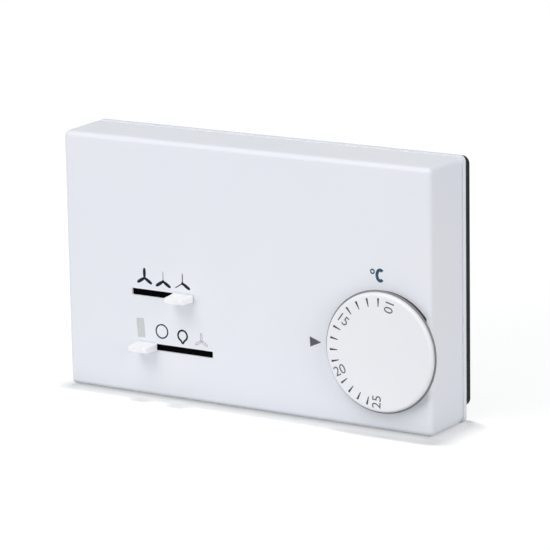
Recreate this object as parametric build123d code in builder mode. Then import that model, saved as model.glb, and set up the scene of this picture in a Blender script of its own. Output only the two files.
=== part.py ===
from build123d import *
import math
import os

os.makedirs("parts", exist_ok=True)

# Wall thermostat with a temperature dial, a fan speed slide and a mode slide.
# Millimetres. X runs right, Z runs up, the wall is the plane Y = 0 and the room is towards -Y.
# A "level" is a distance from the wall: what is at level h lies at Y = -h.

# Clearances
running_gap = 0.05  # shaft in bush, lever on pin
slide_gap = 0.3  # between pieces that slide past each other
seat_gap = 0.1  # between stacked pieces that turn
screw_gap = 0.05  # screw shank in its pilot hole
pilot_run_out = 0.8  # pilot hole beyond the screw's tip
small_edge = 0.4  # softened edges of the small inner pieces
hole_gap = 0.3  # screw shank or pin in a plain hole

# Front cover
cover_width = 160.0
cover_height = 100.0
case_depth = 28.7  # wall to front face
cover_wall = 2.0
cover_lean = 0.5  # each side leans in this much from the rim to the front
cover_corner = 2.4
cover_front_edge = 1.9
cover_inner_corner = 1.0
rim_edge = 0.4
rim_groove_start = 2.5
rim_groove_width = 2.8
rim_groove_depth = 0.5
vent_length = 16.0
vent_width = 2.0
vent_pitch = 4.0
vent_count = 5
vent_from_side = 14.0
boss_wall = 1.0
hub_gap = 0.6  # dial hub in its opening

# Rear base
base_thickness = 3.2
base_side_inset = 0.4
base_top_inset = 0.9
base_bottom_inset = 5.5
base_corner = 3.0
tray_wall = 1.6
tray_height = 6.0
tray_inset = 2.2
tray_clearance = 0.6
rear_pocket_depth = 1.2
rear_pocket_corner = 1.2
rear_rim = 4.8  # left flat around the pockets
rear_rib = 2.4
rear_spine = 19.2
rear_pocket_from_window = 9.6
pilot_floor = 1.6  # left under the pilot holes of the short posts
nib_width = 8.0
nib_height = 2.0
nib_reach = 1.6
nib_spacing = 50.0
nib_above_base = 2.6
post_radius = 3.2
wall_screw_spacing = 60.0
wall_screw_width = 4.2
wall_screw_length = 8.0
cable_window_width = 36.0
cable_window_height = 20.0
cable_window_from_top = 28.0

# Screws
small_shank_radius = 1.25
small_head_radius = 2.5
small_head_height = 1.8
cover_shank_radius = 1.5
cover_head_radius = 3.0
cover_head_height = 2.0
cover_head_sink = 0.6
cover_screw_length = 11.0
cover_screw_from_dial = 10.8  # left of and below the spindle
drive_slot_width = 0.7
drive_slot_depth = 0.8

# Circuit board
board_thickness = 1.6
board_above_base = 4.8
board_from_left = 18.0
board_from_tray = 0.8
board_from_frame = 1.6
board_hole_inset = 4.0
board_screw_below_pivot = 5.0
board_corner = 1.5

# Terminal block
terminal_ways = 8
terminal_pitch = 5.0
terminal_end_wall = 1.25
terminal_wall = 2.0
terminal_depth = 11.0
terminal_height = 11.0
terminal_entry_radius = 1.8
terminal_screw_radius = 1.4
clamp_wall = 0.4
terminal_from_board_edge = 1.5
terminal_from_switch = 1.2

# Capacitor
capacitor_length = 13.0
capacitor_width = 6.0
capacitor_height = 11.0
capacitor_lead_radius = 0.35
capacitor_lead_span = 8.6

# Temperature dial
dial_from_right = 19.8
dial_from_bottom = 30.8
dial_radius = 22.4
dial_proud = 4.6  # dial face over the front face
dial_gap = 0.7  # dial rim over the front face
dial_lean = 0.3
dial_edge = 1.1
dial_under_edge = 1.2  # bevel under the rim
dial_face_thickness = 1.6
dial_rim_thickness = 1.6
dial_hub_radius = 6.0
dial_hub_depth = 5.3
dial_turn_up = 104.0  # degrees, anticlockwise seen from the room
dial_turn_down = 87.0  # degrees, clockwise
trim_outside = 0.5  # the dark trim ring stands out of the dial's rim
trim_seat = 0.6  # and lies this deep in it
trim_thickness = 0.4
trim_below_face = 1.7
ring_width = 3.4
ring_thickness = 1.0
ring_rib = 0.8
ring_gap = 0.1
ring_inner_radius = 10.1
ring_lug_width = 3.0
stop_width = 2.0
stop_height = 1.2
stop_angle = 90.0
stop_gap = 0.55  # lug to stop at the end of the travel
groove_inside_dial = 2.2  # groove under the dial's edge, with the dark ring that lies in it
groove_width = 2.0
groove_depth = 1.0
groove_from_right = 2.4  # the dial overhangs the right side, the groove stops short of it
seal_thickness = 0.6
seal_gap = 0.1

# Spindle and its bearing
spindle_radius = 3.0
spindle_flat = 2.2
collar_radius = 5.0
collar_height = 1.3
bush_wall = 1.5
bush_flange_radius = 6.5
bush_flange_height = 1.2
bush_below_frame = 1.5
clip_thickness = 0.5
clip_groove_radius = 2.3
clip_outer_radius = 4.6
clip_from_end = 0.5
clip_mouth = 2.3
clip_below_bush = 0.4

# Thermostat frame
frame_above_base = 5.8
frame_thickness = 2.4
frame_left_of_dial = 23.5
frame_side_gap = 0.8  # frame to tray wall at the right
frame_end_gap = 2.0  # frame to tray wall above and below
frame_corner = 2.0
frame_screw_inset = 3.2
frame_screw_left_of_dial = 4.2
frame_window_width = 18.0
frame_window_from_dial = 26.0
frame_window_from_top = 10.0

# Setpoint cam and lever
cam_mid_radius = 7.5
cam_rise = 0.3  # mm for each radian
cam_thickness = 3.0
cam_hub_height = 3.0
cam_run_out = 15.0  # degrees of spiral past each end of the travel
cam_points = 12
lever_arm = 17.0
lever_thickness = 2.0
lever_width = 6.0
lever_over_cam = 0.6
follower_radius = 2.0
follower_shank_radius = 1.2
follower_gap = 0.2
pivot_radius = 1.5
pivot_shoulder_radius = 2.5
pivot_boss_radius = 4.0
pivot_tail_width = 2.0
pivot_tail_height = 1.2
pivot_tail_above_frame = 0.6
pivot_tail_reach = 6.0
pivot_clip_height = 0.8
pivot_clip_radius = 3.0
spring_radius = 1.7
spring_wire_radius = 0.35
spring_length = 10.0
spring_turns = 5
spring_left_of_dial = 8.5
spring_peg_radius = 1.0
spring_peg_length = 2.0
spring_post_width = 6.0
spring_post_depth = 2.8

# Bimetal and contacts
bimetal_thickness = 0.6
bimetal_width = 7.2
bimetal_past_contact = 2.5
bimetal_gap = 0.25
tab_length = 8.0
tab_thickness = 1.2
tab_from_pivot = 6.0
tab_root_width = 3.0
rivet_radius = 1.0
rivet_head_radius = 1.8
rivet_head_height = 0.7
rivet_hole_gap = 0.2
contact_radius = 1.4
contact_shank_radius = 0.7
contact_button_height = 0.8
contact_from_frame_top = 8.0
contact_gap = 2.3
blade_thickness = 0.8
blade_width = 5.0
blade_height = 9.0
armature_thickness = 1.0
armature_size = 5.0
magnet_below_contact = 9.0
magnet_gap = 1.9
magnet_thickness = 3.0
magnet_pedestal = 1.6

# Recall heater and lead wires
heater_radius = 1.6
heater_length = 8.0
heater_lead_radius = 0.35
heater_lead_span = 14.0
heater_above_frame = 3.6
heater_right_of_pivot = 6.5
heater_bend = 1.0
wire_radius = 0.6
wire_bend = 1.3
wire_step = 1.6
heating_wire_below_pivot = 13.0
cooling_wire_below_pivot = 17.0

# Slide switches
slot_height = 2.6
slot_web = 0.8  # cover wall left at the slots
slot_corner = 0.4
switch_pitch = 8.4
fan_from_left = 53.4
fan_from_bottom = 40.4
fan_positions = 3
fan_slot_before = 6.4  # slot end beyond the knob's first place
fan_slot_after = 3.8  # slot end beyond the knob's last place
mode_from_left = 36.6
mode_from_bottom = 19.8
mode_positions = 4
mode_slot_before = 3.8
mode_slot_after = 4.2
knob_width = 9.0
knob_height = 3.0
knob_proud = 7.0
knob_gap = 0.3
knob_lean = 0.5
knob_edge = 0.4
knob_saddle_radius = 14.0
knob_saddle_depth = 0.3
stem_width = 6.4
stem_height = 1.0
stem_in_knob = 3.0
shutter_height = 5.6
shutter_thickness = 1.2
shutter_overlap = 0.6
carriage_length = 14.0
carriage_width = 8.0
switch_wall = 1.6
switch_end_wall = 2.0
switch_end_gap = 1.0
switch_floor = 3.0
under_carriage = 2.4
detent_depth = 0.6
detent_half_width = 1.2
detent_offset = -2.0
detent_leaf = 0.3
detent_leaf_width = 2.4
detent_leaf_half_length = 5.0
detent_leaf_foot = 0.9
pad_length = 2.4
pad_width = 1.2
pad_height = 0.4
pad_offset = 3.0
rail_offset = 0.9
pin_size = 0.8
pin_below_board = 1.2
bridge_thickness = 0.4
bridge_foot = 1.0
bridge_gap = 0.15
bridge_width = 2.0

# Places worked out from the sizes above
left = -cover_width / 2
right = cover_width / 2
bottom = -cover_height / 2
top = cover_height / 2
cover_depth = case_depth - base_thickness
cover_inner_level = case_depth - cover_wall
lean_angle = math.degrees(math.atan(cover_lean / cover_depth))

base_left = left + base_side_inset
base_right = right - base_side_inset
base_bottom = bottom + base_bottom_inset
base_top = top - base_top_inset
tray_left = left + cover_wall + tray_clearance
tray_right = right - cover_wall - tray_clearance
tray_bottom = base_bottom + tray_inset
tray_top = base_top - tray_inset
nib_level = base_thickness + nib_above_base
window_z = top - cable_window_from_top

dial_x = right - dial_from_right
dial_z = bottom + dial_from_bottom
dial_base_level = case_depth + dial_gap
dial_face_level = case_depth + dial_proud
dial_ceiling_level = dial_face_level - dial_face_thickness
dial_hub_level = dial_ceiling_level - dial_hub_depth
trim_level = dial_face_level - trim_below_face - trim_thickness
trim_outer_radius = dial_radius + trim_outside
trim_inner_radius = dial_radius - dial_lean - trim_seat
ring_level = dial_ceiling_level - ring_thickness
ring_pitch = ring_width + ring_rib + 2 * ring_gap
lug_level = case_depth + slide_gap
groove_inner_radius = dial_radius - groove_inside_dial
groove_outer_radius = groove_inner_radius + groove_width
groove_level = case_depth - groove_depth
groove_right = right - groove_from_right

frame_level = base_thickness + frame_above_base
frame_top_level = frame_level + frame_thickness
frame_left = dial_x - frame_left_of_dial
frame_right = tray_right - tray_wall - frame_side_gap
frame_bottom = tray_bottom + tray_wall + frame_end_gap
frame_top = tray_top - tray_wall - frame_end_gap
frame_screw_points = [
    (frame_left + frame_screw_inset, frame_bottom + frame_screw_inset),
    (frame_right - frame_screw_inset, frame_bottom + frame_screw_inset),
    (frame_right - frame_screw_inset, frame_top - frame_screw_inset),
    (dial_x - frame_screw_left_of_dial, frame_top - frame_screw_inset),
]

bush_radius = spindle_radius + running_gap + bush_wall
bush_bottom_level = frame_level - bush_below_frame
bush_top_level = frame_top_level + bush_flange_height
collar_level = bush_top_level + seat_gap
cam_hub_level = collar_level + collar_height
cam_level = cam_hub_level + cam_hub_height
cam_top_level = cam_level + cam_thickness
clip_level = bush_bottom_level - clip_below_bush - clip_thickness
spindle_end_level = clip_level - clip_from_end
spindle_top_level = dial_ceiling_level + dial_face_thickness / 2

lever_level = cam_top_level + lever_over_cam
lever_top_level = lever_level + lever_thickness
pivot_x = dial_x - lever_arm
pivot_z = dial_z + cam_mid_radius + follower_radius + follower_gap
pivot_shoulder_level = lever_level - seat_gap
pivot_clip_level = lever_top_level + seat_gap
pivot_top_level = pivot_clip_level + pivot_clip_height
spring_x = dial_x - spring_left_of_dial
spring_level = lever_level + lever_thickness / 2
spring_bottom_z = pivot_z + lever_width / 2 + seat_gap
spring_top_z = spring_bottom_z + spring_length

bimetal_x = pivot_x + bimetal_gap
bimetal_top_level = lever_level - slide_gap
bimetal_level = bimetal_top_level - bimetal_width
bimetal_mid_level = bimetal_level + bimetal_width / 2
bimetal_mid_x = bimetal_x + bimetal_thickness / 2
rivet_z = pivot_z + tab_from_pivot + tab_length / 2
bimetal_bottom_z = pivot_z + tab_from_pivot
contact_z = frame_top - contact_from_frame_top
bimetal_length = contact_z + bimetal_past_contact - bimetal_bottom_z
moving_contact_half = bimetal_thickness / 2 + contact_button_height
blade_reach = moving_contact_half + contact_gap + contact_button_height
magnet_z = contact_z - magnet_below_contact
magnet_right_x = bimetal_x - armature_thickness - magnet_gap

fan_x = left + fan_from_left
fan_z = bottom + fan_from_bottom
fan_travel = switch_pitch * (fan_positions - 1)
mode_x = left + mode_from_left
mode_z = bottom + mode_from_bottom
mode_travel = switch_pitch * (mode_positions - 1)
slides = [
    ("fan", fan_x - fan_travel, fan_x, fan_travel, fan_z, fan_slot_before, fan_slot_after),
    ("mode", mode_x, mode_x, mode_travel, mode_z, mode_slot_before, mode_slot_after),
]
switch_half_width = carriage_width / 2 + slide_gap + switch_wall

board_level = base_thickness + board_above_base
board_top_level = board_level + board_thickness
board_left = left + board_from_left
board_right = frame_left - board_from_frame
board_bottom = tray_bottom + tray_wall + board_from_tray
terminal_length = terminal_ways * terminal_pitch + 2 * terminal_end_wall
terminal_right = board_right - terminal_from_board_edge
terminal_left = terminal_right - terminal_length
terminal_bottom = fan_z + switch_half_width + terminal_from_switch
terminal_top = terminal_bottom + terminal_depth
board_top = terminal_top + terminal_from_board_edge
terminal_z = (terminal_top + terminal_bottom) / 2
terminal_xs = [
    terminal_left + terminal_end_wall + terminal_pitch * (way + 0.5) for way in range(terminal_ways)
]
terminal_places = [(way_x, terminal_z) for way_x in terminal_xs]
board_screw_points = [
    (board_left + board_hole_inset, board_bottom + board_hole_inset),
    (board_right - board_hole_inset, board_bottom + board_hole_inset),
    (board_left + board_hole_inset, board_top - board_hole_inset),
    (board_right - board_hole_inset, pivot_z - board_screw_below_pivot),
]
cover_screw_point = (dial_x - cover_screw_from_dial, dial_z - cover_screw_from_dial)
cover_boss_radius = cover_head_radius + hole_gap + boss_wall
cover_seat_level = case_depth - cover_head_height - cover_head_sink
cover_boss_level = cover_seat_level - cover_wall
cover_tip_level = cover_seat_level - cover_screw_length
small_tip_level = pilot_floor + pilot_run_out
shutter_level = case_depth - slot_web - slide_gap - shutter_thickness
switch_top_level = shutter_level - slide_gap
switch_floor_level = board_top_level + switch_floor
carriage_level = switch_floor_level + under_carriage


# A plane at one level, seen from the room: its x is X, its y is Z and it faces the room.
def level(height):
    return Plane(origin=(0, -height, 0), x_dir=(1, 0, 0), z_dir=(0, -1, 0))


# A plane across the case at one Z: its x is X and its y is the level.
def across(z):
    return Plane(origin=(0, 0, z), x_dir=(1, 0, 0), z_dir=(0, 0, -1))


# A plane facing right at one X: its x is Z and its y is Y reversed, so y is the level.
def facing_right(x):
    return Plane(origin=(x, 0, 0), x_dir=(0, 0, 1), z_dir=(1, 0, 0))


# A rectangle from corner to corner, with round corners where a radius is given.
def box_outline(plane, x_low, x_high, y_low, y_high, corner=0.0):
    middle = ((x_low + x_high) / 2, (y_low + y_high) / 2)
    with BuildSketch(plane) as outline:
        with Locations(middle):
            if corner > 0:
                RectangleRounded(x_high - x_low, y_high - y_low, corner)
            else:
                Rectangle(x_high - x_low, y_high - y_low)
    return outline.sketch


# Circles of one radius at several places.
def round_outline(plane, radius, *places):
    with BuildSketch(plane) as outline:
        with Locations(*places):
            Circle(radius)
    return outline.sketch


# A flat ring about one place.
def ring_outline(plane, outer_radius, inner_radius, place):
    with BuildSketch(plane) as outline:
        with Locations(place):
            Circle(outer_radius)
            Circle(inner_radius, mode=Mode.SUBTRACT)
    return outline.sketch


# A flat ring about the dial's middle, open at the lower right: it runs from the bottom round the left
# and over the top, and is cut off straight before the right side of the case.
def open_ring_outline(plane, outer_radius, inner_radius, end_gap):
    with BuildSketch(plane) as outline:
        with Locations((dial_x, dial_z)):
            Circle(outer_radius)
            Circle(inner_radius, mode=Mode.SUBTRACT)
        with Locations((groove_right - end_gap + dial_radius, dial_z)):
            Rectangle(2 * dial_radius, 4 * dial_radius, mode=Mode.SUBTRACT)
        with Locations((dial_x - end_gap + dial_radius, dial_z - dial_radius)):
            Rectangle(2 * dial_radius, 2 * dial_radius, mode=Mode.SUBTRACT)
    return outline.sketch


# The spindle's round section with one flat on its upper side.
def spindle_section(plane):
    with BuildSketch(plane) as outline:
        with Locations((dial_x, dial_z)):
            Circle(spindle_radius)
        with Locations((dial_x, dial_z + spindle_flat + spindle_radius)):
            Rectangle(spindle_radius * 2, spindle_radius * 2, mode=Mode.SUBTRACT)
    return outline.sketch


# A bar along a radius of the dial, from one radius to another, at an angle from +X.
def dial_bar(plane, inner_radius, outer_radius, width, angle):
    turn = math.radians(angle)
    middle = (inner_radius + outer_radius) / 2
    place = Location((dial_x + middle * math.cos(turn), dial_z + middle * math.sin(turn), 0), (0, 0, angle))
    with BuildSketch(plane) as outline:
        with Locations(place):
            Rectangle(outer_radius - inner_radius, width)
    return outline.sketch


# Labels a finished piece and writes its file.
def keep(piece, name):
    piece.part.label = name
    export_step(piece.part, f"parts/{name}.step")


# Front cover: a drafted shell, open at the back.
with BuildPart() as front_cover:
    with BuildSketch(level(base_thickness)):
        RectangleRounded(cover_width, cover_height, cover_corner)
    extrude(amount=cover_depth, taper=lean_angle)
    fillet(front_cover.faces().sort_by(Axis.Y)[0].edges(), cover_front_edge)
    chamfer(front_cover.faces().sort_by(Axis.Y)[-1].edges(), rim_edge)
    with BuildSketch(level(base_thickness)):
        RectangleRounded(cover_width - 2 * cover_wall, cover_height - 2 * cover_wall, cover_inner_corner)
    extrude(amount=cover_depth - cover_wall, taper=lean_angle, mode=Mode.SUBTRACT)
    # Shallow groove around the sides, near the rim
    groove_width = cover_width - 2 * rim_groove_depth
    groove_height = cover_height - 2 * rim_groove_depth
    with BuildSketch(level(base_thickness + rim_groove_start)):
        RectangleRounded(cover_width + cover_wall, cover_height + cover_wall, cover_corner)
        RectangleRounded(groove_width, groove_height, cover_corner, mode=Mode.SUBTRACT)
    extrude(amount=rim_groove_width, mode=Mode.SUBTRACT)
    # Sunk boss for the cover screw, the opening for the dial hub and the two slots
    extrude(
        round_outline(level(cover_boss_level), cover_boss_radius, cover_screw_point),
        amount=case_depth - cover_boss_level,
    )
    extrude(
        round_outline(level(cover_seat_level), cover_head_radius + hole_gap, cover_screw_point),
        amount=case_depth - cover_seat_level,
        mode=Mode.SUBTRACT,
    )
    extrude(
        round_outline(level(cover_boss_level), cover_shank_radius + hole_gap, cover_screw_point),
        amount=cover_wall,
        mode=Mode.SUBTRACT,
    )
    extrude(
        round_outline(level(cover_inner_level), dial_hub_radius + hub_gap, (dial_x, dial_z)),
        amount=cover_wall,
        mode=Mode.SUBTRACT,
    )
    for name, first_x, rest_x, travel, z, before, after in slides:
        slot_outline = box_outline(
            level(cover_inner_level),
            first_x - before,
            first_x + travel + after,
            z - slot_height / 2,
            z + slot_height / 2,
            slot_corner,
        )
        extrude(slot_outline, amount=cover_wall, mode=Mode.SUBTRACT)
        # Thinner wall behind the slot, where the slider's shutter runs
        shutter_room = box_outline(
            level(cover_inner_level),
            first_x - travel - before - shutter_overlap - 2 * slide_gap,
            first_x + 2 * travel + after + shutter_overlap + 2 * slide_gap,
            z - shutter_height / 2 - slide_gap,
            z + shutter_height / 2 + slide_gap,
        )
        extrude(shutter_room, amount=cover_wall - slot_web, mode=Mode.SUBTRACT)
    # Groove around the dial
    extrude(
        open_ring_outline(level(groove_level), groove_outer_radius, groove_inner_radius, 0.0),
        amount=groove_depth,
        mode=Mode.SUBTRACT,
    )
    # Stop for the limit rings, under the dial
    extrude(
        dial_bar(
            level(case_depth),
            ring_inner_radius + ring_gap,
            ring_inner_radius + ring_pitch + ring_width,
            stop_width,
            stop_angle,
        ),
        amount=stop_height,
    )
    # Nibs on the left and right walls that hook into the base
    nib_root = cover_wall / 2
    nib_tip = cover_wall + nib_reach
    for nib_z in (-nib_spacing / 2, nib_spacing / 2):
        for nib_left, nib_right in [(left + nib_root, left + nib_tip), (right - nib_tip, right - nib_root)]:
            nib_outline = box_outline(
                level(nib_level), nib_left, nib_right, nib_z - nib_width / 2, nib_z + nib_width / 2
            )
            extrude(nib_outline, amount=nib_height)
    # Air slots through the lower wall, at both ends
    for end in (-1, 1):
        first = end * (cover_width / 2 - vent_from_side)
        for index in range(vent_count):
            slot_middle = first - end * vent_pitch * index
            vent_outline = box_outline(
                Plane.XY.offset(bottom - cover_wall),
                slot_middle - vent_width / 2,
                slot_middle + vent_width / 2,
                -(base_thickness + cover_depth / 2 + vent_length / 2),
                -(base_thickness + cover_depth / 2 - vent_length / 2),
                vent_width / 2 - seat_gap,
            )
            extrude(vent_outline, amount=cover_wall * 3, mode=Mode.SUBTRACT)
keep(front_cover, "front_cover")

# Dark ring in the groove around the dial
with BuildPart() as dial_seal:
    extrude(
        open_ring_outline(
            level(groove_level),
            groove_outer_radius - seal_gap,
            groove_inner_radius + seal_gap,
            seal_gap,
        ),
        amount=seal_thickness,
    )
keep(dial_seal, "dial_seal")

# Rear base: the plate against the wall, the tray wall inside the cover and the posts.
with BuildPart() as rear_base:
    extrude(
        box_outline(level(0), base_left, base_right, base_bottom, base_top, base_corner),
        amount=base_thickness,
    )
    extrude(
        box_outline(level(base_thickness), tray_left, tray_right, tray_bottom, tray_top, base_corner),
        amount=tray_height,
    )
    extrude(
        box_outline(
            level(base_thickness),
            tray_left + tray_wall,
            tray_right - tray_wall,
            tray_bottom + tray_wall,
            tray_top - tray_wall,
            base_corner - tray_wall / 2,
        ),
        amount=tray_height,
        mode=Mode.SUBTRACT,
    )
    extrude(
        round_outline(level(base_thickness), post_radius, *board_screw_points),
        amount=board_above_base,
    )
    extrude(
        round_outline(level(base_thickness), post_radius, *frame_screw_points),
        amount=frame_above_base,
    )
    extrude(
        round_outline(level(base_thickness), post_radius, cover_screw_point),
        amount=cover_boss_level - base_thickness,
    )
    pilot_radius = small_shank_radius + screw_gap
    extrude(
        round_outline(level(pilot_floor), pilot_radius, *board_screw_points),
        amount=board_level,
        mode=Mode.SUBTRACT,
    )
    extrude(
        round_outline(level(pilot_floor), pilot_radius, *frame_screw_points),
        amount=frame_level,
        mode=Mode.SUBTRACT,
    )
    extrude(
        round_outline(
            level(cover_tip_level - pilot_run_out), cover_shank_radius + screw_gap, cover_screw_point
        ),
        amount=cover_boss_level,
        mode=Mode.SUBTRACT,
    )
    # Windows for the cover's nibs
    for nib_z in (-nib_spacing / 2, nib_spacing / 2):
        for wall_left, wall_right in [
            (tray_left, tray_left + tray_wall),
            (tray_right - tray_wall, tray_right),
        ]:
            nib_window = box_outline(
                level(nib_level - slide_gap),
                wall_left,
                wall_right,
                nib_z - nib_width / 2 - slide_gap,
                nib_z + nib_width / 2 + slide_gap,
            )
            extrude(nib_window, amount=nib_height + 2 * slide_gap, mode=Mode.SUBTRACT)
    # Opening for the wiring and two slots for the wall screws
    extrude(
        box_outline(
            level(0),
            -cable_window_width / 2,
            cable_window_width / 2,
            window_z - cable_window_height / 2,
            window_z + cable_window_height / 2,
            base_corner,
        ),
        amount=base_thickness,
        mode=Mode.SUBTRACT,
    )
    with BuildSketch(level(0)):
        with Locations((-wall_screw_spacing / 2, window_z), (wall_screw_spacing / 2, window_z)):
            SlotOverall(wall_screw_length, wall_screw_width)
    extrude(amount=base_thickness, mode=Mode.SUBTRACT)
    # Shallow pockets in the back, either side of the middle rib
    pocket_top = window_z - cable_window_height / 2 - rear_pocket_from_window
    for pocket_left, pocket_right in [
        (base_left + rear_rim, base_left / 2 - rear_rib / 2),
        (base_left / 2 + rear_rib / 2, -rear_spine / 2),
        (rear_spine / 2, base_right / 2 - rear_rib / 2),
        (base_right / 2 + rear_rib / 2, base_right - rear_rim),
    ]:
        pocket_outline = box_outline(
            level(0),
            pocket_left,
            pocket_right,
            base_bottom + rear_rim,
            pocket_top,
            rear_pocket_corner,
        )
        extrude(pocket_outline, amount=rear_pocket_depth, mode=Mode.SUBTRACT)
keep(rear_base, "rear_base")


# Pan head screws of one size, heads towards the room, in one node.
def make_screws(name, places, seat_level, tip_level, shank_radius, head_radius, head_height):
    with BuildPart() as screws:
        extrude(round_outline(level(tip_level), shank_radius, *places), amount=seat_level - tip_level)
        extrude(round_outline(level(seat_level), head_radius, *places), amount=head_height)
        with BuildSketch(level(seat_level + head_height - drive_slot_depth)):
            with Locations(*places):
                Rectangle(head_radius * 2, drive_slot_width)
                Rectangle(drive_slot_width, head_radius * 2)
        extrude(amount=head_height, mode=Mode.SUBTRACT)
    keep(screws, name)


make_screws(
    "cover_screw",
    [cover_screw_point],
    cover_seat_level,
    cover_tip_level,
    cover_shank_radius,
    cover_head_radius,
    cover_head_height,
)
make_screws(
    "board_screws",
    board_screw_points,
    board_top_level,
    small_tip_level,
    small_shank_radius,
    small_head_radius,
    small_head_height,
)
make_screws(
    "frame_screws",
    frame_screw_points,
    frame_top_level,
    small_tip_level,
    small_shank_radius,
    small_head_radius,
    small_head_height,
)


# Places of a switch's contact pads and of the ends of its common rail.
def pad_places(first_x, travel, z):
    count = round(travel / switch_pitch) + 1
    return [(first_x + switch_pitch * index, z + pad_offset) for index in range(count)]


def rail_places(first_x, travel, z):
    return [(first_x, z + rail_offset), (first_x + travel, z + rail_offset)]


capacitor_x = (terminal_left + terminal_right) / 2
capacitor_z = (fan_z + mode_z) / 2
capacitor_leads = [
    (capacitor_x - capacitor_lead_span / 2, capacitor_z),
    (capacitor_x + capacitor_lead_span / 2, capacitor_z),
]
wire_x = (board_right + frame_left) / 2
wire_start_x = board_right - board_corner - wire_radius
wire_starts = [
    (wire_start_x, pivot_z),
    (wire_start_x, pivot_z - heating_wire_below_pivot),
    (wire_start_x, pivot_z - cooling_wire_below_pivot),
]

# Circuit board
with BuildPart() as circuit_board:
    extrude(
        box_outline(level(board_level), board_left, board_right, board_bottom, board_top, board_corner),
        amount=board_thickness,
    )
    extrude(
        round_outline(level(board_level), small_shank_radius + hole_gap, *board_screw_points),
        amount=board_thickness,
        mode=Mode.SUBTRACT,
    )
    extrude(
        round_outline(level(board_level), capacitor_lead_radius + seat_gap, *capacitor_leads),
        amount=board_thickness,
        mode=Mode.SUBTRACT,
    )
    with BuildSketch(level(board_level)):
        for name, first_x, rest_x, travel, z, before, after in slides:
            with Locations(*pad_places(first_x, travel, z), *rail_places(first_x, travel, z)):
                Rectangle(pin_size + hole_gap, pin_size + hole_gap)
    extrude(amount=board_thickness, mode=Mode.SUBTRACT)
keep(circuit_board, "circuit_board")

# Terminal block: wire entries in its upper side, screw wells in its front.
terminal_front_level = board_top_level + terminal_height
entry_level = board_top_level + terminal_entry_radius + terminal_wall
cage_half = terminal_entry_radius + clamp_wall
with BuildPart() as terminal_block:
    extrude(
        box_outline(level(board_top_level), terminal_left, terminal_right, terminal_bottom, terminal_top),
        amount=terminal_height,
    )
    chamfer(terminal_block.faces().sort_by(Axis.Y)[0].edges(), small_edge)
    for way_x in terminal_xs:
        cage_room = box_outline(
            level(entry_level - cage_half),
            way_x - cage_half,
            way_x + cage_half,
            terminal_bottom + terminal_wall,
            terminal_top,
        )
        extrude(cage_room, amount=2 * cage_half, mode=Mode.SUBTRACT)
    extrude(
        round_outline(level(entry_level), terminal_screw_radius + hole_gap, *terminal_places),
        amount=terminal_height,
        mode=Mode.SUBTRACT,
    )
keep(terminal_block, "terminal_block")

# Wire clamps: one square cage in each way.
with BuildPart() as terminal_clamps:
    for way_x in terminal_xs:
        cage_outline = box_outline(
            level(entry_level - cage_half),
            way_x - cage_half,
            way_x + cage_half,
            terminal_bottom + terminal_wall,
            terminal_top - terminal_wall,
        )
        extrude(cage_outline, amount=2 * cage_half)
        wire_room = box_outline(
            level(entry_level - cage_half + clamp_wall),
            way_x - cage_half + clamp_wall,
            way_x + cage_half - clamp_wall,
            terminal_bottom,
            terminal_top,
        )
        extrude(wire_room, amount=2 * (cage_half - clamp_wall), mode=Mode.SUBTRACT)
    extrude(
        round_outline(level(entry_level), terminal_screw_radius + hole_gap, *terminal_places),
        amount=terminal_height,
        mode=Mode.SUBTRACT,
    )
keep(terminal_clamps, "terminal_clamps")

# Terminal screws, one in each way, their heads sunk in the wells.
with BuildPart() as terminal_screws:
    screw_head_level = terminal_front_level - terminal_wall
    extrude(
        round_outline(level(entry_level + terminal_screw_radius), terminal_screw_radius, *terminal_places),
        amount=screw_head_level - entry_level - terminal_screw_radius,
    )
    with BuildSketch(level(screw_head_level - drive_slot_depth)):
        with Locations(*terminal_places):
            Rectangle(terminal_screw_radius * 2, drive_slot_width)
    extrude(amount=drive_slot_depth, mode=Mode.SUBTRACT)
keep(terminal_screws, "terminal_screws")

# Suppressor capacitor: a moulded box on two leads.
with BuildPart() as suppressor_capacitor:
    extrude(
        box_outline(
            level(board_top_level),
            capacitor_x - capacitor_length / 2,
            capacitor_x + capacitor_length / 2,
            capacitor_z - capacitor_width / 2,
            capacitor_z + capacitor_width / 2,
        ),
        amount=capacitor_height,
    )
    fillet(suppressor_capacitor.faces().sort_by(Axis.Y)[0].edges(), small_edge)
    extrude(
        round_outline(level(board_level - pin_below_board), capacitor_lead_radius, *capacitor_leads),
        amount=board_thickness + pin_below_board,
    )
keep(suppressor_capacitor, "suppressor_capacitor")


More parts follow.
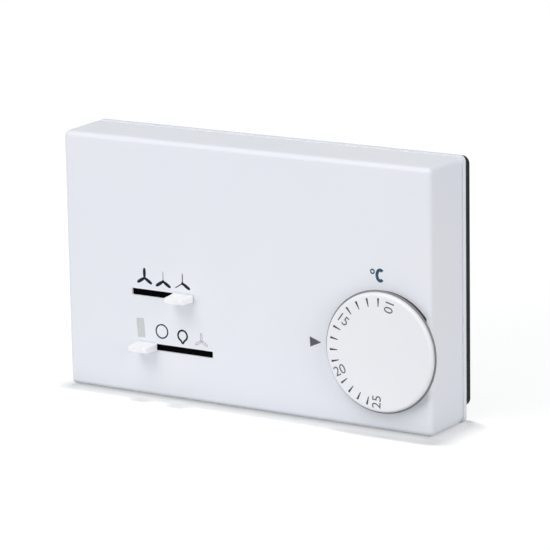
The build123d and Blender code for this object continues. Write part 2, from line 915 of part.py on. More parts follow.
# One slide switch: its body and pins on the board, and the slider that carries the knob.
# first_x is the knob's leftmost place and rest_x the place in which it is drawn; the slot goes
# on past the knob's first and last places by before and after.
def make_switch(name, first_x, rest_x, travel, z, before, after):
    middle_x = first_x + travel / 2
    channel_half = travel / 2 + carriage_length / 2 + switch_end_gap
    channel_side = carriage_width / 2 + slide_gap
    pads = pad_places(first_x, travel, z)
    rail_ends = rail_places(first_x, travel, z)

    with BuildPart() as switch_body:
        extrude(
            box_outline(
                level(board_top_level),
                middle_x - channel_half - switch_end_wall,
                middle_x + channel_half + switch_end_wall,
                z - switch_half_width,
                z + switch_half_width,
            ),
            amount=switch_top_level - board_top_level,
        )
        extrude(
            box_outline(
                level(switch_floor_level),
                middle_x - channel_half,
                middle_x + channel_half,
                z - channel_side,
                z + channel_side,
            ),
            amount=switch_top_level - switch_floor_level,
            mode=Mode.SUBTRACT,
        )
        with BuildSketch(level(board_top_level)):
            with Locations(*pads, *rail_ends):
                Rectangle(pin_size, pin_size)
        extrude(amount=switch_floor, mode=Mode.SUBTRACT)
        # One notch in the floor for each position
        with BuildSketch(across(z + detent_offset + detent_leaf_width / 2 + slide_gap)):
            for pad_x, pad_z in pads:
                with BuildLine():
                    Polyline(
                        (pad_x - detent_half_width, switch_floor_level),
                        (pad_x, switch_floor_level - detent_depth),
                        (pad_x + detent_half_width, switch_floor_level),
                        close=True,
                    )
                make_face()
        extrude(amount=detent_leaf_width + 2 * slide_gap, mode=Mode.SUBTRACT)
    keep(switch_body, f"{name}_switch_body")

    with BuildPart() as switch_pins:
        with BuildSketch(level(board_level - pin_below_board)):
            with Locations(*pads, *rail_ends):
                Rectangle(pin_size, pin_size)
        extrude(amount=switch_floor_level - board_level + pin_below_board)
        with BuildSketch(level(switch_floor_level)):
            with Locations(*pads):
                Rectangle(pad_length, pad_width)
            with Locations((middle_x, z + rail_offset)):
                Rectangle(travel + pad_length, pad_width)
        extrude(amount=pad_height)
    keep(switch_pins, f"{name}_switch_pins")

    with BuildPart() as slider:
        extrude(
            box_outline(
                level(carriage_level),
                rest_x - carriage_length / 2,
                rest_x + carriage_length / 2,
                z - carriage_width / 2,
                z + carriage_width / 2,
            ),
            amount=shutter_level - carriage_level,
        )
        extrude(
            box_outline(
                level(shutter_level),
                rest_x - travel - before - shutter_overlap,
                rest_x + travel + after + shutter_overlap,
                z - shutter_height / 2,
                z + shutter_height / 2,
            ),
            amount=shutter_thickness,
        )
        extrude(
            box_outline(
                level(shutter_level),
                rest_x - stem_width / 2,
                rest_x + stem_width / 2,
                z - stem_height / 2,
                z + stem_height / 2,
            ),
            amount=case_depth + knob_gap + stem_in_knob - shutter_level,
        )
    keep(slider, f"{name}_slider")

    with BuildPart() as knob:
        knob_level = case_depth + knob_gap
        knob_top_level = knob_level + knob_proud
        with BuildSketch(level(knob_level)):
            with Locations((rest_x, z)):
                RectangleRounded(knob_width, knob_height, knob_edge)
        extrude(amount=knob_proud, taper=math.degrees(math.atan(knob_lean / knob_proud)))
        fillet(knob.faces().sort_by(Axis.Y)[0].edges(), knob_edge)
        with BuildSketch(across(z + knob_height)):
            with Locations((rest_x, knob_top_level + knob_saddle_radius - knob_saddle_depth)):
                Circle(knob_saddle_radius)
        extrude(amount=2 * knob_height, mode=Mode.SUBTRACT)
        extrude(
            box_outline(
                level(knob_level),
                rest_x - stem_width / 2,
                rest_x + stem_width / 2,
                z - stem_height / 2,
                z + stem_height / 2,
            ),
            amount=stem_in_knob,
            mode=Mode.SUBTRACT,
        )
    keep(knob, f"{name}_knob")

    # Leaf spring under the slider, its bend resting in a notch
    with BuildPart() as detent_spring:
        bend_level = switch_floor_level - detent_depth + detent_leaf
        with BuildSketch(across(z + detent_offset + detent_leaf_width / 2)):
            with BuildLine():
                Polyline(
                    (rest_x - detent_leaf_half_length, carriage_level),
                    (rest_x - detent_leaf_half_length, carriage_level - detent_leaf),
                    (rest_x - detent_half_width, switch_floor_level + detent_leaf),
                    (rest_x, bend_level),
                    (rest_x + detent_half_width, switch_floor_level + detent_leaf),
                    (rest_x + detent_leaf_half_length, carriage_level - detent_leaf),
                    (rest_x + detent_leaf_half_length, carriage_level),
                    (rest_x + detent_leaf_half_length - detent_leaf_foot, carriage_level),
                    (rest_x + detent_half_width, switch_floor_level + detent_leaf * 2),
                    (rest_x, bend_level + detent_leaf),
                    (rest_x - detent_half_width, switch_floor_level + detent_leaf * 2),
                    (rest_x - detent_leaf_half_length + detent_leaf_foot, carriage_level),
                    close=True,
                )
            make_face()
        extrude(amount=detent_leaf_width)
    keep(detent_spring, f"{name}_detent_spring")

    # Bridge that joins the rail to one pad
    with BuildPart() as contact_bridge:
        foot_level = switch_floor_level + pad_height + bridge_gap
        bridge_low = z + rail_offset - bridge_foot / 2
        bridge_high = z + pad_offset + bridge_foot / 2
        bridge_left = rest_x - bridge_width / 2
        bridge_right = rest_x + bridge_width / 2
        extrude(
            box_outline(level(foot_level), bridge_left, bridge_right, bridge_low, bridge_high),
            amount=carriage_level - foot_level,
        )
        extrude(
            box_outline(
                level(foot_level),
                bridge_left,
                bridge_right,
                bridge_low + bridge_foot,
                bridge_high - bridge_foot,
            ),
            amount=carriage_level - foot_level - bridge_thickness,
            mode=Mode.SUBTRACT,
        )
    keep(contact_bridge, f"{name}_contact_bridge")


for slide in slides:
    make_switch(*slide)

# Temperature dial: a cap with a hub on the spindle and ribs that hold the two limit rings.
ring_ribs = [ring_inner_radius - ring_gap, ring_inner_radius + ring_pitch - ring_gap]
with BuildPart() as temperature_dial:
    with BuildSketch(level(dial_base_level)):
        with Locations((dial_x, dial_z)):
            Circle(dial_radius)
    dial_height = dial_face_level - dial_base_level
    extrude(amount=dial_height, taper=math.degrees(math.atan(dial_lean / dial_height)))
    fillet(temperature_dial.faces().sort_by(Axis.Y)[0].edges(), dial_edge)
    chamfer(temperature_dial.faces().sort_by(Axis.Y)[-1].edges(), dial_under_edge)
    dial_inner_radius = dial_radius - dial_lean - dial_rim_thickness
    extrude(
        round_outline(level(dial_base_level), dial_inner_radius, (dial_x, dial_z)),
        amount=dial_ceiling_level - dial_base_level,
        mode=Mode.SUBTRACT,
    )
    # Groove around the rim for the trim ring
    extrude(
        ring_outline(level(trim_level), trim_outer_radius, trim_inner_radius, (dial_x, dial_z)),
        amount=trim_thickness,
        mode=Mode.SUBTRACT,
    )
    for rib_radius in ring_ribs + [ring_inner_radius + 2 * ring_pitch - ring_gap]:
        extrude(
            ring_outline(level(ring_level), rib_radius, rib_radius - ring_rib, (dial_x, dial_z)),
            amount=ring_thickness,
        )
    extrude(
        round_outline(level(dial_hub_level), dial_hub_radius, (dial_x, dial_z)),
        amount=dial_ceiling_level - dial_hub_level,
    )
    extrude(
        spindle_section(level(dial_hub_level)),
        amount=spindle_top_level - dial_hub_level,
        mode=Mode.SUBTRACT,
    )
keep(temperature_dial, "temperature_dial")

# Dark trim ring around the dial's rim
with BuildPart() as dial_trim:
    extrude(
        ring_outline(level(trim_level), trim_outer_radius, trim_inner_radius, (dial_x, dial_z)),
        amount=trim_thickness,
    )
keep(dial_trim, "dial_trim")


# A limit ring under the dial, with a lug that meets the stop at one end of the travel.
# turn is how far the dial goes before the lug reaches the stop, anticlockwise positive.
def make_limit_ring(name, inner_radius, turn):
    outer_radius = inner_radius + ring_width
    middle_radius = (inner_radius + outer_radius) / 2
    meeting = (ring_lug_width + stop_width) / 2 + stop_gap
    lead = math.degrees(meeting / middle_radius)
    lug_angle = stop_angle - turn - math.copysign(lead, turn)
    with BuildPart() as limit_ring:
        extrude(
            ring_outline(level(ring_level), outer_radius, inner_radius, (dial_x, dial_z)),
            amount=ring_thickness,
        )
        extrude(
            dial_bar(
                level(lug_level),
                inner_radius + ring_gap,
                outer_radius - ring_gap,
                ring_lug_width,
                lug_angle,
            ),
            amount=ring_level + ring_thickness - lug_level,
        )
    keep(limit_ring, name)


make_limit_ring("lower_limit_ring", ring_inner_radius + ring_pitch, dial_turn_up)
make_limit_ring("upper_limit_ring", ring_inner_radius, -dial_turn_down)

# Dial spindle: round in the bush, a collar over it, a flat from the cam to the dial.
with BuildPart() as dial_spindle:
    extrude(
        round_outline(level(spindle_end_level), spindle_radius, (dial_x, dial_z)),
        amount=cam_hub_level - spindle_end_level,
    )
    extrude(round_outline(level(collar_level), collar_radius, (dial_x, dial_z)), amount=collar_height)
    extrude(spindle_section(level(cam_hub_level)), amount=spindle_top_level - cam_hub_level)
    extrude(
        ring_outline(
            level(clip_level - running_gap), spindle_radius * 2, clip_groove_radius, (dial_x, dial_z)
        ),
        amount=clip_thickness + 2 * running_gap,
        mode=Mode.SUBTRACT,
    )
keep(dial_spindle, "dial_spindle")

# Clip that keeps the spindle in its bush
with BuildPart() as spindle_clip:
    extrude(
        ring_outline(
            level(clip_level), clip_outer_radius, clip_groove_radius + running_gap, (dial_x, dial_z)
        ),
        amount=clip_thickness,
    )
    mouth_outline = box_outline(
        level(clip_level),
        dial_x - clip_mouth / 2,
        dial_x + clip_mouth / 2,
        dial_z - clip_outer_radius * 2,
        dial_z,
    )
    extrude(mouth_outline, amount=clip_thickness, mode=Mode.SUBTRACT)
keep(spindle_clip, "spindle_clip")

# Flanged bush, pressed into the frame
with BuildPart() as spindle_bush:
    extrude(
        round_outline(level(bush_bottom_level), bush_radius, (dial_x, dial_z)),
        amount=bush_top_level - bush_bottom_level,
    )
    extrude(
        round_outline(level(frame_top_level), bush_flange_radius, (dial_x, dial_z)),
        amount=bush_flange_height,
    )
    extrude(
        round_outline(level(bush_bottom_level), spindle_radius + running_gap, (dial_x, dial_z)),
        amount=bush_top_level - bush_bottom_level,
        mode=Mode.SUBTRACT,
    )
keep(spindle_bush, "spindle_bush")


# A point of the cam's spiral: the radius grows as the dial turns anticlockwise.
def cam_point(angle):
    turn = math.radians(angle)
    radius = cam_mid_radius - cam_rise * math.radians(angle - 90)
    return (dial_x + radius * math.cos(turn), dial_z + radius * math.sin(turn))


# Setpoint cam: an even spiral over the dial's travel, closed by one arc
cam_first = 90 - dial_turn_up - cam_run_out
cam_last = 90 + dial_turn_down + cam_run_out
cam_spread = cam_last - cam_first
with BuildPart() as setpoint_cam:
    extrude(
        round_outline(level(cam_hub_level), collar_radius, (dial_x, dial_z)), amount=cam_hub_height
    )
    with BuildSketch(level(cam_level)):
        with BuildLine():
            spiral = Spline(
                *[cam_point(cam_first + cam_spread * step / cam_points) for step in range(cam_points + 1)]
            )
            back_turn = math.radians((cam_first + cam_last) / 2 + 180)
            back_point = (
                dial_x + cam_mid_radius * math.cos(back_turn),
                dial_z + cam_mid_radius * math.sin(back_turn),
            )
            ThreePointArc(spiral @ 1, back_point, spiral @ 0)
        make_face()
    extrude(amount=cam_thickness)
    extrude(
        spindle_section(level(cam_hub_level)),
        amount=cam_hub_height + cam_thickness,
        mode=Mode.SUBTRACT,
    )
keep(setpoint_cam, "setpoint_cam")

# Thermostat frame: the plate that carries bush, pivot, contacts, magnet and heater.
blade_left_x = bimetal_mid_x - blade_reach - blade_thickness
blade_right_x = bimetal_mid_x + blade_reach
blade_low_z = contact_z - blade_width / 2
heater_x = pivot_x + heater_right_of_pivot
heater_z = (spring_top_z + spring_post_depth + blade_low_z) / 2
heater_lead_places = [
    (heater_x, heater_z - heater_lead_span / 2),
    (heater_x, heater_z + heater_lead_span / 2),
]
with BuildPart() as thermostat_frame:
    extrude(
        box_outline(level(frame_level), frame_left, frame_right, frame_bottom, frame_top, frame_corner),
        amount=frame_thickness,
    )
    # Post over the lever that backs its spring, and the magnet's pedestal
    extrude(
        box_outline(
            level(frame_top_level),
            spring_x - spring_post_width / 2,
            spring_x + spring_post_width / 2,
            spring_top_z + seat_gap,
            spring_top_z + seat_gap + spring_post_depth,
        ),
        amount=lever_top_level + spring_radius - frame_top_level,
    )
    with BuildSketch(Plane.XY.offset(spring_top_z + seat_gap)):
        with Locations((spring_x, -spring_level)):
            Circle(spring_peg_radius)
    extrude(amount=-spring_peg_length)
    extrude(
        box_outline(
            level(frame_top_level),
            magnet_right_x - magnet_thickness,
            magnet_right_x,
            magnet_z - armature_size / 2,
            magnet_z + armature_size / 2,
        ),
        amount=magnet_pedestal,
    )
    extrude(
        round_outline(level(frame_level), bush_radius, (dial_x, dial_z)),
        amount=frame_thickness,
        mode=Mode.SUBTRACT,
    )
    extrude(
        round_outline(level(frame_level), pivot_radius, (pivot_x, pivot_z)),
        amount=frame_thickness,
        mode=Mode.SUBTRACT,
    )
    extrude(
        round_outline(level(frame_level), small_shank_radius + hole_gap, *frame_screw_points),
        amount=frame_thickness,
        mode=Mode.SUBTRACT,
    )
    extrude(
        round_outline(level(frame_level), post_radius + hole_gap, cover_screw_point),
        amount=frame_thickness,
        mode=Mode.SUBTRACT,
    )
    extrude(
        round_outline(level(frame_level), heater_lead_radius + seat_gap, *heater_lead_places),
        amount=frame_thickness,
        mode=Mode.SUBTRACT,
    )
    for blade_x in (blade_left_x, blade_right_x):
        blade_slot = box_outline(
            level(frame_level),
            blade_x,
            blade_x + blade_thickness,
            blade_low_z,
            blade_low_z + blade_width,
        )
        extrude(blade_slot, amount=frame_thickness, mode=Mode.SUBTRACT)
    # Window that lets room air through to the bimetal
    extrude(
        box_outline(
            level(frame_level),
            frame_right - frame_screw_inset - frame_window_width,
            frame_right - frame_screw_inset,
            dial_z + frame_window_from_dial,
            frame_top - frame_window_from_top,
            frame_corner,
        ),
        amount=frame_thickness,
        mode=Mode.SUBTRACT,
    )
keep(thermostat_frame, "thermostat_frame")

# Pivot pin of the lever, with a solder tail for the common lead
tail_level = frame_top_level + pivot_tail_above_frame
with BuildPart() as pivot_pin:
    extrude(
        round_outline(level(frame_level), pivot_radius, (pivot_x, pivot_z)),
        amount=pivot_top_level - frame_level,
    )
    extrude(
        round_outline(level(frame_top_level), pivot_shoulder_radius, (pivot_x, pivot_z)),
        amount=pivot_shoulder_level - frame_top_level,
    )
    extrude(
        box_outline(
            level(tail_level),
            pivot_x - pivot_tail_reach,
            pivot_x,
            pivot_z - pivot_tail_width / 2,
            pivot_z + pivot_tail_width / 2,
        ),
        amount=pivot_tail_height,
    )
keep(pivot_pin, "pivot_pin")

# Push-on clip over the lever
with BuildPart() as pivot_clip:
    extrude(
        ring_outline(level(pivot_clip_level), pivot_clip_radius, pivot_radius, (pivot_x, pivot_z)),
        amount=pivot_clip_height,
    )
keep(pivot_clip, "pivot_clip")

# Setpoint lever: a flat arm from the pivot to the cam, with a tab for the bimetal.
with BuildPart() as setpoint_lever:
    extrude(
        box_outline(
            level(lever_level),
            pivot_x,
            dial_x,
            pivot_z - lever_width / 2,
            pivot_z + lever_width / 2,
        ),
        amount=lever_thickness,
    )
    extrude(
        round_outline(level(lever_level), lever_width / 2, (dial_x, pivot_z)), amount=lever_thickness
    )
    extrude(
        round_outline(level(lever_level), pivot_boss_radius, (pivot_x, pivot_z)), amount=lever_thickness
    )
    extrude(
        box_outline(
            level(lever_level),
            pivot_x - tab_root_width / 2,
            pivot_x + tab_root_width / 2,
            pivot_z,
            pivot_z + tab_from_pivot + tab_length,
        ),
        amount=lever_thickness,
    )
    extrude(
        box_outline(
            level(bimetal_level),
            pivot_x - tab_thickness,
            pivot_x,
            pivot_z + tab_from_pivot,
            pivot_z + tab_from_pivot + tab_length,
        ),
        amount=lever_level - bimetal_level,
    )
    with BuildSketch(Plane.XY.offset(pivot_z + lever_width / 2)):
        with Locations((spring_x, -spring_level)):
            Circle(spring_peg_radius - seat_gap)
    extrude(amount=spring_peg_length)
    extrude(
        round_outline(level(lever_level), pivot_radius + running_gap, (pivot_x, pivot_z)),
        amount=lever_thickness,
        mode=Mode.SUBTRACT,
    )
    extrude(
        round_outline(level(lever_level), follower_shank_radius, (dial_x, pivot_z)),
        amount=lever_thickness,
        mode=Mode.SUBTRACT,
    )
    with BuildSketch(facing_right(pivot_x - tab_thickness)):
        with Locations((rivet_z, bimetal_mid_level)):
            Circle(rivet_radius)
    extrude(amount=tab_thickness, mode=Mode.SUBTRACT)
keep(setpoint_lever, "setpoint_lever")

# Follower pin, pressed into the lever and bearing on the cam
with BuildPart() as follower_pin:
    follower_level = cam_level + slide_gap
    extrude(
        round_outline(level(follower_level), follower_radius, (dial_x, pivot_z)),
        amount=lever_level - follower_level,
    )
    extrude(
        round_outline(level(lever_level), follower_shank_radius, (dial_x, pivot_z)), amount=lever_thickness
    )
keep(follower_pin, "follower_pin")

# Coil spring that holds the lever down on the cam
with BuildPart() as lever_spring:
    coil_height = spring_length - 2 * spring_wire_radius
    coil_start_z = spring_bottom_z + spring_wire_radius
    with BuildLine():
        coil = Helix(
            coil_height / spring_turns,
            coil_height,
            spring_radius,
            (spring_x, -spring_level, coil_start_z),
        )
    with BuildSketch(Plane(origin=coil @ 0, z_dir=coil % 0)):
        Circle(spring_wire_radius)
    sweep(path=coil)
keep(lever_spring, "lever_spring")

# Rivet that carries the bimetal on the lever's tab
with BuildPart() as bimetal_rivet:
    rivet_left_x = pivot_x - tab_thickness
    rivet_right_x = bimetal_x + bimetal_thickness + bimetal_gap
    with BuildSketch(facing_right(rivet_left_x)):
        with Locations((rivet_z, bimetal_mid_level)):
            Circle(rivet_radius)
    extrude(amount=rivet_right_x - rivet_left_x)
    for head_x in (rivet_left_x - rivet_head_height, rivet_right_x):
        with BuildSketch(facing_right(head_x)):
            with Locations((rivet_z, bimetal_mid_level)):
                Circle(rivet_head_radius)
        extrude(amount=rivet_head_height)
keep(bimetal_rivet, "bimetal_rivet")

# Bimetal strip: bends left or right with the room's temperature.
with BuildPart() as bimetal_strip:
    extrude(
        box_outline(
            level(bimetal_level),
            bimetal_x,
            bimetal_x + bimetal_thickness,
            bimetal_bottom_z,
            bimetal_bottom_z + bimetal_length,
        ),
        amount=bimetal_width,
    )
    with BuildSketch(facing_right(bimetal_x)):
        with Locations((rivet_z, bimetal_mid_level)):
            Circle(rivet_radius + rivet_hole_gap)
        with Locations((contact_z, bimetal_mid_level)):
            Circle(contact_shank_radius)
    extrude(amount=bimetal_thickness, mode=Mode.SUBTRACT)
keep(bimetal_strip, "bimetal_strip")

# Contact rivet at the strip's free end, with a button on each side
with BuildPart() as moving_contact:
    with BuildSketch(facing_right(bimetal_x)):
        with Locations((contact_z, bimetal_mid_level)):
            Circle(contact_shank_radius)
    extrude(amount=bimetal_thickness)
    for button_x in (bimetal_x - contact_button_height, bimetal_x + bimetal_thickness):
        with BuildSketch(facing_right(button_x)):
            with Locations((contact_z, bimetal_mid_level)):
                Circle(contact_radius)
        extrude(amount=contact_button_height)
keep(moving_contact, "moving_contact")

# Soft iron armature on the strip, facing the magnet
with BuildPart() as armature:
    extrude(
        box_outline(
            level(bimetal_mid_level - armature_size / 2),
            bimetal_x - armature_thickness,
            bimetal_x,
            magnet_z - armature_size / 2,
            magnet_z + armature_size / 2,
        ),
        amount=armature_size,
    )
keep(armature, "armature")

# Magnet that makes the contact snap
with BuildPart() as snap_magnet:
    extrude(
        box_outline(
            level(frame_top_level + magnet_pedestal),
            magnet_right_x - magnet_thickness,
            magnet_right_x,
            magnet_z - armature_size / 2,
            magnet_z + armature_size / 2,
        ),
        amount=bimetal_mid_level + armature_size / 2 - frame_top_level - magnet_pedestal,
    )
    chamfer(snap_magnet.faces().sort_by(Axis.Y)[0].edges(), small_edge)
keep(snap_magnet, "snap_magnet")


# A fixed contact: a blade standing in the frame, with a button facing the moving contact.
def make_fixed_contact(name, blade_x, button_x):
    with BuildPart() as fixed_contact:
        extrude(
            box_outline(
                level(frame_level),
                blade_x,
                blade_x + blade_thickness,
                blade_low_z,
                blade_low_z + blade_width,
            ),
            amount=frame_thickness + blade_height,
        )
        with BuildSketch(facing_right(button_x)):
            with Locations((contact_z, bimetal_mid_level)):
                Circle(contact_radius)
        extrude(amount=contact_button_height)
    keep(fixed_contact, name)


make_fixed_contact("heating_contact", blade_left_x, blade_left_x + blade_thickness)
make_fixed_contact("cooling_contact", blade_right_x, blade_right_x - contact_button_height)

# Recall heater: a resistor beside the strip, on two leads bent down into the frame
with BuildPart() as recall_heater:
    heater_level = frame_top_level + heater_above_frame
    lead_low_z = heater_z - heater_lead_span / 2
    lead_high_z = heater_z + heater_lead_span / 2
    with BuildLine():
        lead_path = FilletPolyline(
            (heater_x, -frame_level, lead_low_z),
            (heater_x, -heater_level, lead_low_z),
            (heater_x, -heater_level, lead_high_z),
            (heater_x, -frame_level, lead_high_z),
            radius=heater_bend,
        )
    with BuildSketch(Plane(origin=lead_path @ 0, z_dir=lead_path % 0)):
        Circle(heater_lead_radius)
    sweep(path=lead_path)
    with BuildSketch(Plane.XY.offset(heater_z - heater_length / 2)):
        with Locations((heater_x, -heater_level)):
            Circle(heater_radius)
    extrude(amount=heater_length)
    fillet(recall_heater.edges().filter_by(GeomType.CIRCLE).group_by(SortBy.RADIUS)[-1], small_edge)
keep(recall_heater, "recall_heater")

# Lead wires from the board to the pivot and to the two fixed contacts
common_level = tail_level + pivot_tail_height / 2
heating_level = common_level + wire_step
cooling_level = heating_level + wire_step
wire_turn_z = blade_low_z - wire_step
wire_over_z = blade_low_z + blade_width + wire_step
heating_x = blade_left_x + blade_thickness / 2
cooling_x = blade_right_x + blade_thickness / 2
wire_paths = [
    [
        (wire_start_x, common_level, wire_starts[0][1]),
        (pivot_x - pivot_tail_reach, common_level, wire_starts[0][1]),
    ],
    [
        (wire_start_x, heating_level, wire_starts[1][1]),
        (wire_x, heating_level, wire_starts[1][1]),
        (wire_x, heating_level, wire_turn_z),
        (heating_x, heating_level, wire_turn_z),
        (heating_x, heating_level, blade_low_z),
    ],
    [
        (wire_start_x, cooling_level, wire_starts[2][1]),
        (wire_x, cooling_level, wire_starts[2][1]),
        (wire_x, cooling_level, wire_over_z),
        (cooling_x, cooling_level, wire_over_z),
        (cooling_x, cooling_level, blade_low_z + blade_width),
    ],
]
with BuildPart() as lead_wires:
    for path_points in wire_paths:
        start_x, start_level, start_z = path_points[0]
        with BuildLine():
            wire_path = FilletPolyline(
                (start_x, -board_top_level, start_z),
                *[(x, -height, z) for x, height, z in path_points],
                radius=wire_bend,
            )
        with BuildSketch(Plane(origin=wire_path @ 0, z_dir=wire_path % 0)):
            Circle(wire_radius)
        sweep(path=wire_path)
keep(lead_wires, "lead_wires")
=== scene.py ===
import math
import bpy
import bmesh
import numpy as np
from mathutils import Matrix, Vector


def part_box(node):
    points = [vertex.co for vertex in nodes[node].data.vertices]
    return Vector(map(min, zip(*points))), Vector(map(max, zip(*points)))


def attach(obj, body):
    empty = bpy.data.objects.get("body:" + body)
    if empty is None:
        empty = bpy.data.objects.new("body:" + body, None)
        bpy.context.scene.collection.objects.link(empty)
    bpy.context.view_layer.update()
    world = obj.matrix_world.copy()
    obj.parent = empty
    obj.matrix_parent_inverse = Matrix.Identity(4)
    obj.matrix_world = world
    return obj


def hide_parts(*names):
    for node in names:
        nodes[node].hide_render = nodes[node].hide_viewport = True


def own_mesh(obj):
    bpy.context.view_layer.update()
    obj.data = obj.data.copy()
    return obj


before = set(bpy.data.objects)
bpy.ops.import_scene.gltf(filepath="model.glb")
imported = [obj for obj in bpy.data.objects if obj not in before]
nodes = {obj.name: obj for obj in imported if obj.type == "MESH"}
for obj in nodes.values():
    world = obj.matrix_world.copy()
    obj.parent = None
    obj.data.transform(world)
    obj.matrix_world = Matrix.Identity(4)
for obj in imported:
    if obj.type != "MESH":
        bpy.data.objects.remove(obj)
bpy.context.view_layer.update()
mm = 0.001  # Blender works in metres, the sizes below are millimetres
print("frame loaded:", len(nodes), "nodes")

# Places taken from the frame
stopHeight = 1.2 * mm  # the limit stop under the dial stands this far out of the front face
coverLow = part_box("front_cover")[0]
dialLow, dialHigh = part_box("temperature_dial")
frontFaceY = coverLow.y + stopHeight
dialFaceY = dialLow.y
dialX = (dialLow.x + dialHigh.x) / 2
dialZ = (dialLow.z + dialHigh.z) / 2


# Adds a node; a socket value may be a number, a colour or another node's output
def addNode(tree, kind, sockets=None, **settings):
    node = tree.nodes.new(kind)
    for key, value in settings.items():
        setattr(node, key, value)
    for key, value in (sockets or {}).items():
        if isinstance(value, bpy.types.NodeSocket):
            tree.links.new(value, node.inputs[key])
        else:
            node.inputs[key].default_value = value
    return node


def math2(tree, operation, first, second=0.0, third=0.0, clamp=False):
    sockets = {0: first, 1: second, 2: third}
    return addNode(tree, "ShaderNodeMath", sockets, operation=operation, use_clamp=clamp).outputs[0]


def mapRange(tree, value, fromLow, fromHigh, toLow, toHigh):
    sockets = {"Value": value, "From Min": fromLow, "From Max": fromHigh, "To Min": toLow, "To Max": toHigh}
    return addNode(tree, "ShaderNodeMapRange", sockets, clamp=True).outputs["Result"]


def mixColour(tree, factor, first, second, mode="MIX"):
    sockets = {0: factor, 6: first, 7: second}
    return addNode(tree, "ShaderNodeMix", sockets, data_type="RGBA", blend_type=mode).outputs[2]


def noise(tree, where, scale, detail=2.0, roughness=0.5):
    sockets = {"Vector": where, "Scale": scale, "Detail": detail, "Roughness": roughness}
    return addNode(tree, "ShaderNodeTexNoise", sockets).outputs["Fac"]


def rgba(colour):
    return (colour[0], colour[1], colour[2], 1.0)


# Starts a shader group with float inputs (name: default) and float outputs
def openGroup(name, inputs, outputs):
    tree = bpy.data.node_groups.new(name, "ShaderNodeTree")
    for label, value in inputs.items():
        socket = tree.interface.new_socket(label, in_out="INPUT", socket_type="NodeSocketFloat")
        socket.default_value = value
    for label in outputs:
        tree.interface.new_socket(label, in_out="OUTPUT", socket_type="NodeSocketFloat")
    return tree, tree.nodes.new("NodeGroupInput").outputs, tree.nodes.new("NodeGroupOutput").inputs


def useGroup(tree, group, sockets):
    node = addNode(tree, "ShaderNodeGroup", node_tree=group)
    for key, value in sockets.items():
        node.inputs[key].default_value = value
    return node.outputs


# Moulded grain: fine eroded texture, a slow drift of tone and soft smears of gloss
def makeMouldedGrain():
    tree, given, result = openGroup(
        "mouldedGrain", {"Grain Scale": 2600.0, "Drift Scale": 22.0}, ["Height", "Drift", "Smear"]
    )
    where = addNode(tree, "ShaderNodeTexCoord").outputs["Object"]
    fine = noise(tree, where, given["Grain Scale"], 3.0, 0.6)
    coarse = noise(tree, where, math2(tree, "MULTIPLY", given["Grain Scale"], 0.3), 2.0)
    tree.links.new(math2(tree, "MULTIPLY_ADD", coarse, 0.5, fine), result["Height"])
    drift = noise(tree, where, given["Drift Scale"], 3.0, 0.55)
    tree.links.new(mapRange(tree, drift, 0.3, 0.7, 0.0, 1.0), result["Drift"])
    smear = noise(tree, where, math2(tree, "MULTIPLY", given["Drift Scale"], 4.0), 4.0, 0.6)
    tree.links.new(mapRange(tree, smear, 0.35, 0.75, 0.0, 1.0), result["Smear"])
    return tree


# Edge wear: how far the rounded normal turns from the true one, broken up by noise
def makeEdgeWear():
    tree, given, result = openGroup("edgeWear", {"Radius": 0.0006, "Breakup": 300.0}, ["Mask"])
    where = addNode(tree, "ShaderNodeTexCoord").outputs["Object"]
    rounded = addNode(tree, "ShaderNodeBevel", {"Radius": given["Radius"]}, samples=4).outputs["Normal"]
    true = addNode(tree, "ShaderNodeNewGeometry").outputs["Normal"]
    along = addNode(tree, "ShaderNodeVectorMath", {0: rounded, 1: true}, operation="DOT_PRODUCT")
    turned = mapRange(tree, along.outputs["Value"], 0.99, 0.80, 0.0, 1.0)
    broken = mapRange(tree, noise(tree, where, given["Breakup"], 4.0, 0.65), 0.35, 0.65, 0.25, 1.0)
    tree.links.new(math2(tree, "MULTIPLY", turned, broken), result["Mask"])
    return tree


# Settled dust: only where the surface looks up, in uneven specks
def makeSettledDust():
    tree, given, result = openGroup("settledDust", {"Speck Scale": 900.0}, ["Mask"])
    where = addNode(tree, "ShaderNodeTexCoord").outputs["Object"]
    normal = addNode(tree, "ShaderNodeNewGeometry").outputs["Normal"]
    up = addNode(tree, "ShaderNodeSeparateXYZ", {0: normal}).outputs["Z"]
    facing = mapRange(tree, up, 0.4, 0.95, 0.0, 1.0)
    specks = mapRange(tree, noise(tree, where, given["Speck Scale"], 3.0, 0.7), 0.45, 0.75, 0.1, 1.0)
    tree.links.new(math2(tree, "MULTIPLY", facing, specks), result["Mask"])
    return tree


# Drawn metal: noise stretched along one axis, as from a die or a rolling mill
def makeDrawnMetal():
    given = {"Scale": 900.0, "Stretch X": 1.0, "Stretch Y": 1.0, "Stretch Z": 1.0}
    tree, given, result = openGroup("drawnMetal", given, ["Line", "Tarnish"])
    where = addNode(tree, "ShaderNodeTexCoord").outputs["Object"]
    axes = {"X": given["Stretch X"], "Y": given["Stretch Y"], "Z": given["Stretch Z"]}
    stretch = addNode(tree, "ShaderNodeCombineXYZ", axes).outputs[0]
    drawn = addNode(tree, "ShaderNodeVectorMath", {0: where, 1: stretch}, operation="MULTIPLY").outputs[0]
    tree.links.new(noise(tree, drawn, given["Scale"], 4.0, 0.6), result["Line"])
    tarnish = noise(tree, where, math2(tree, "MULTIPLY", given["Scale"], 0.25), 4.0, 0.65)
    tree.links.new(mapRange(tree, tarnish, 0.35, 0.7, 0.0, 1.0), result["Tarnish"])
    return tree


grainGroup = makeMouldedGrain()
edgeGroup = makeEdgeWear()
dustGroup = makeSettledDust()
drawnGroup = makeDrawnMetal()
print("shader groups made")


def startMaterial(name):
    material = bpy.data.materials.new(name)
    material.use_nodes = True
    tree = material.node_tree
    return material, tree, tree.nodes["Principled BSDF"]


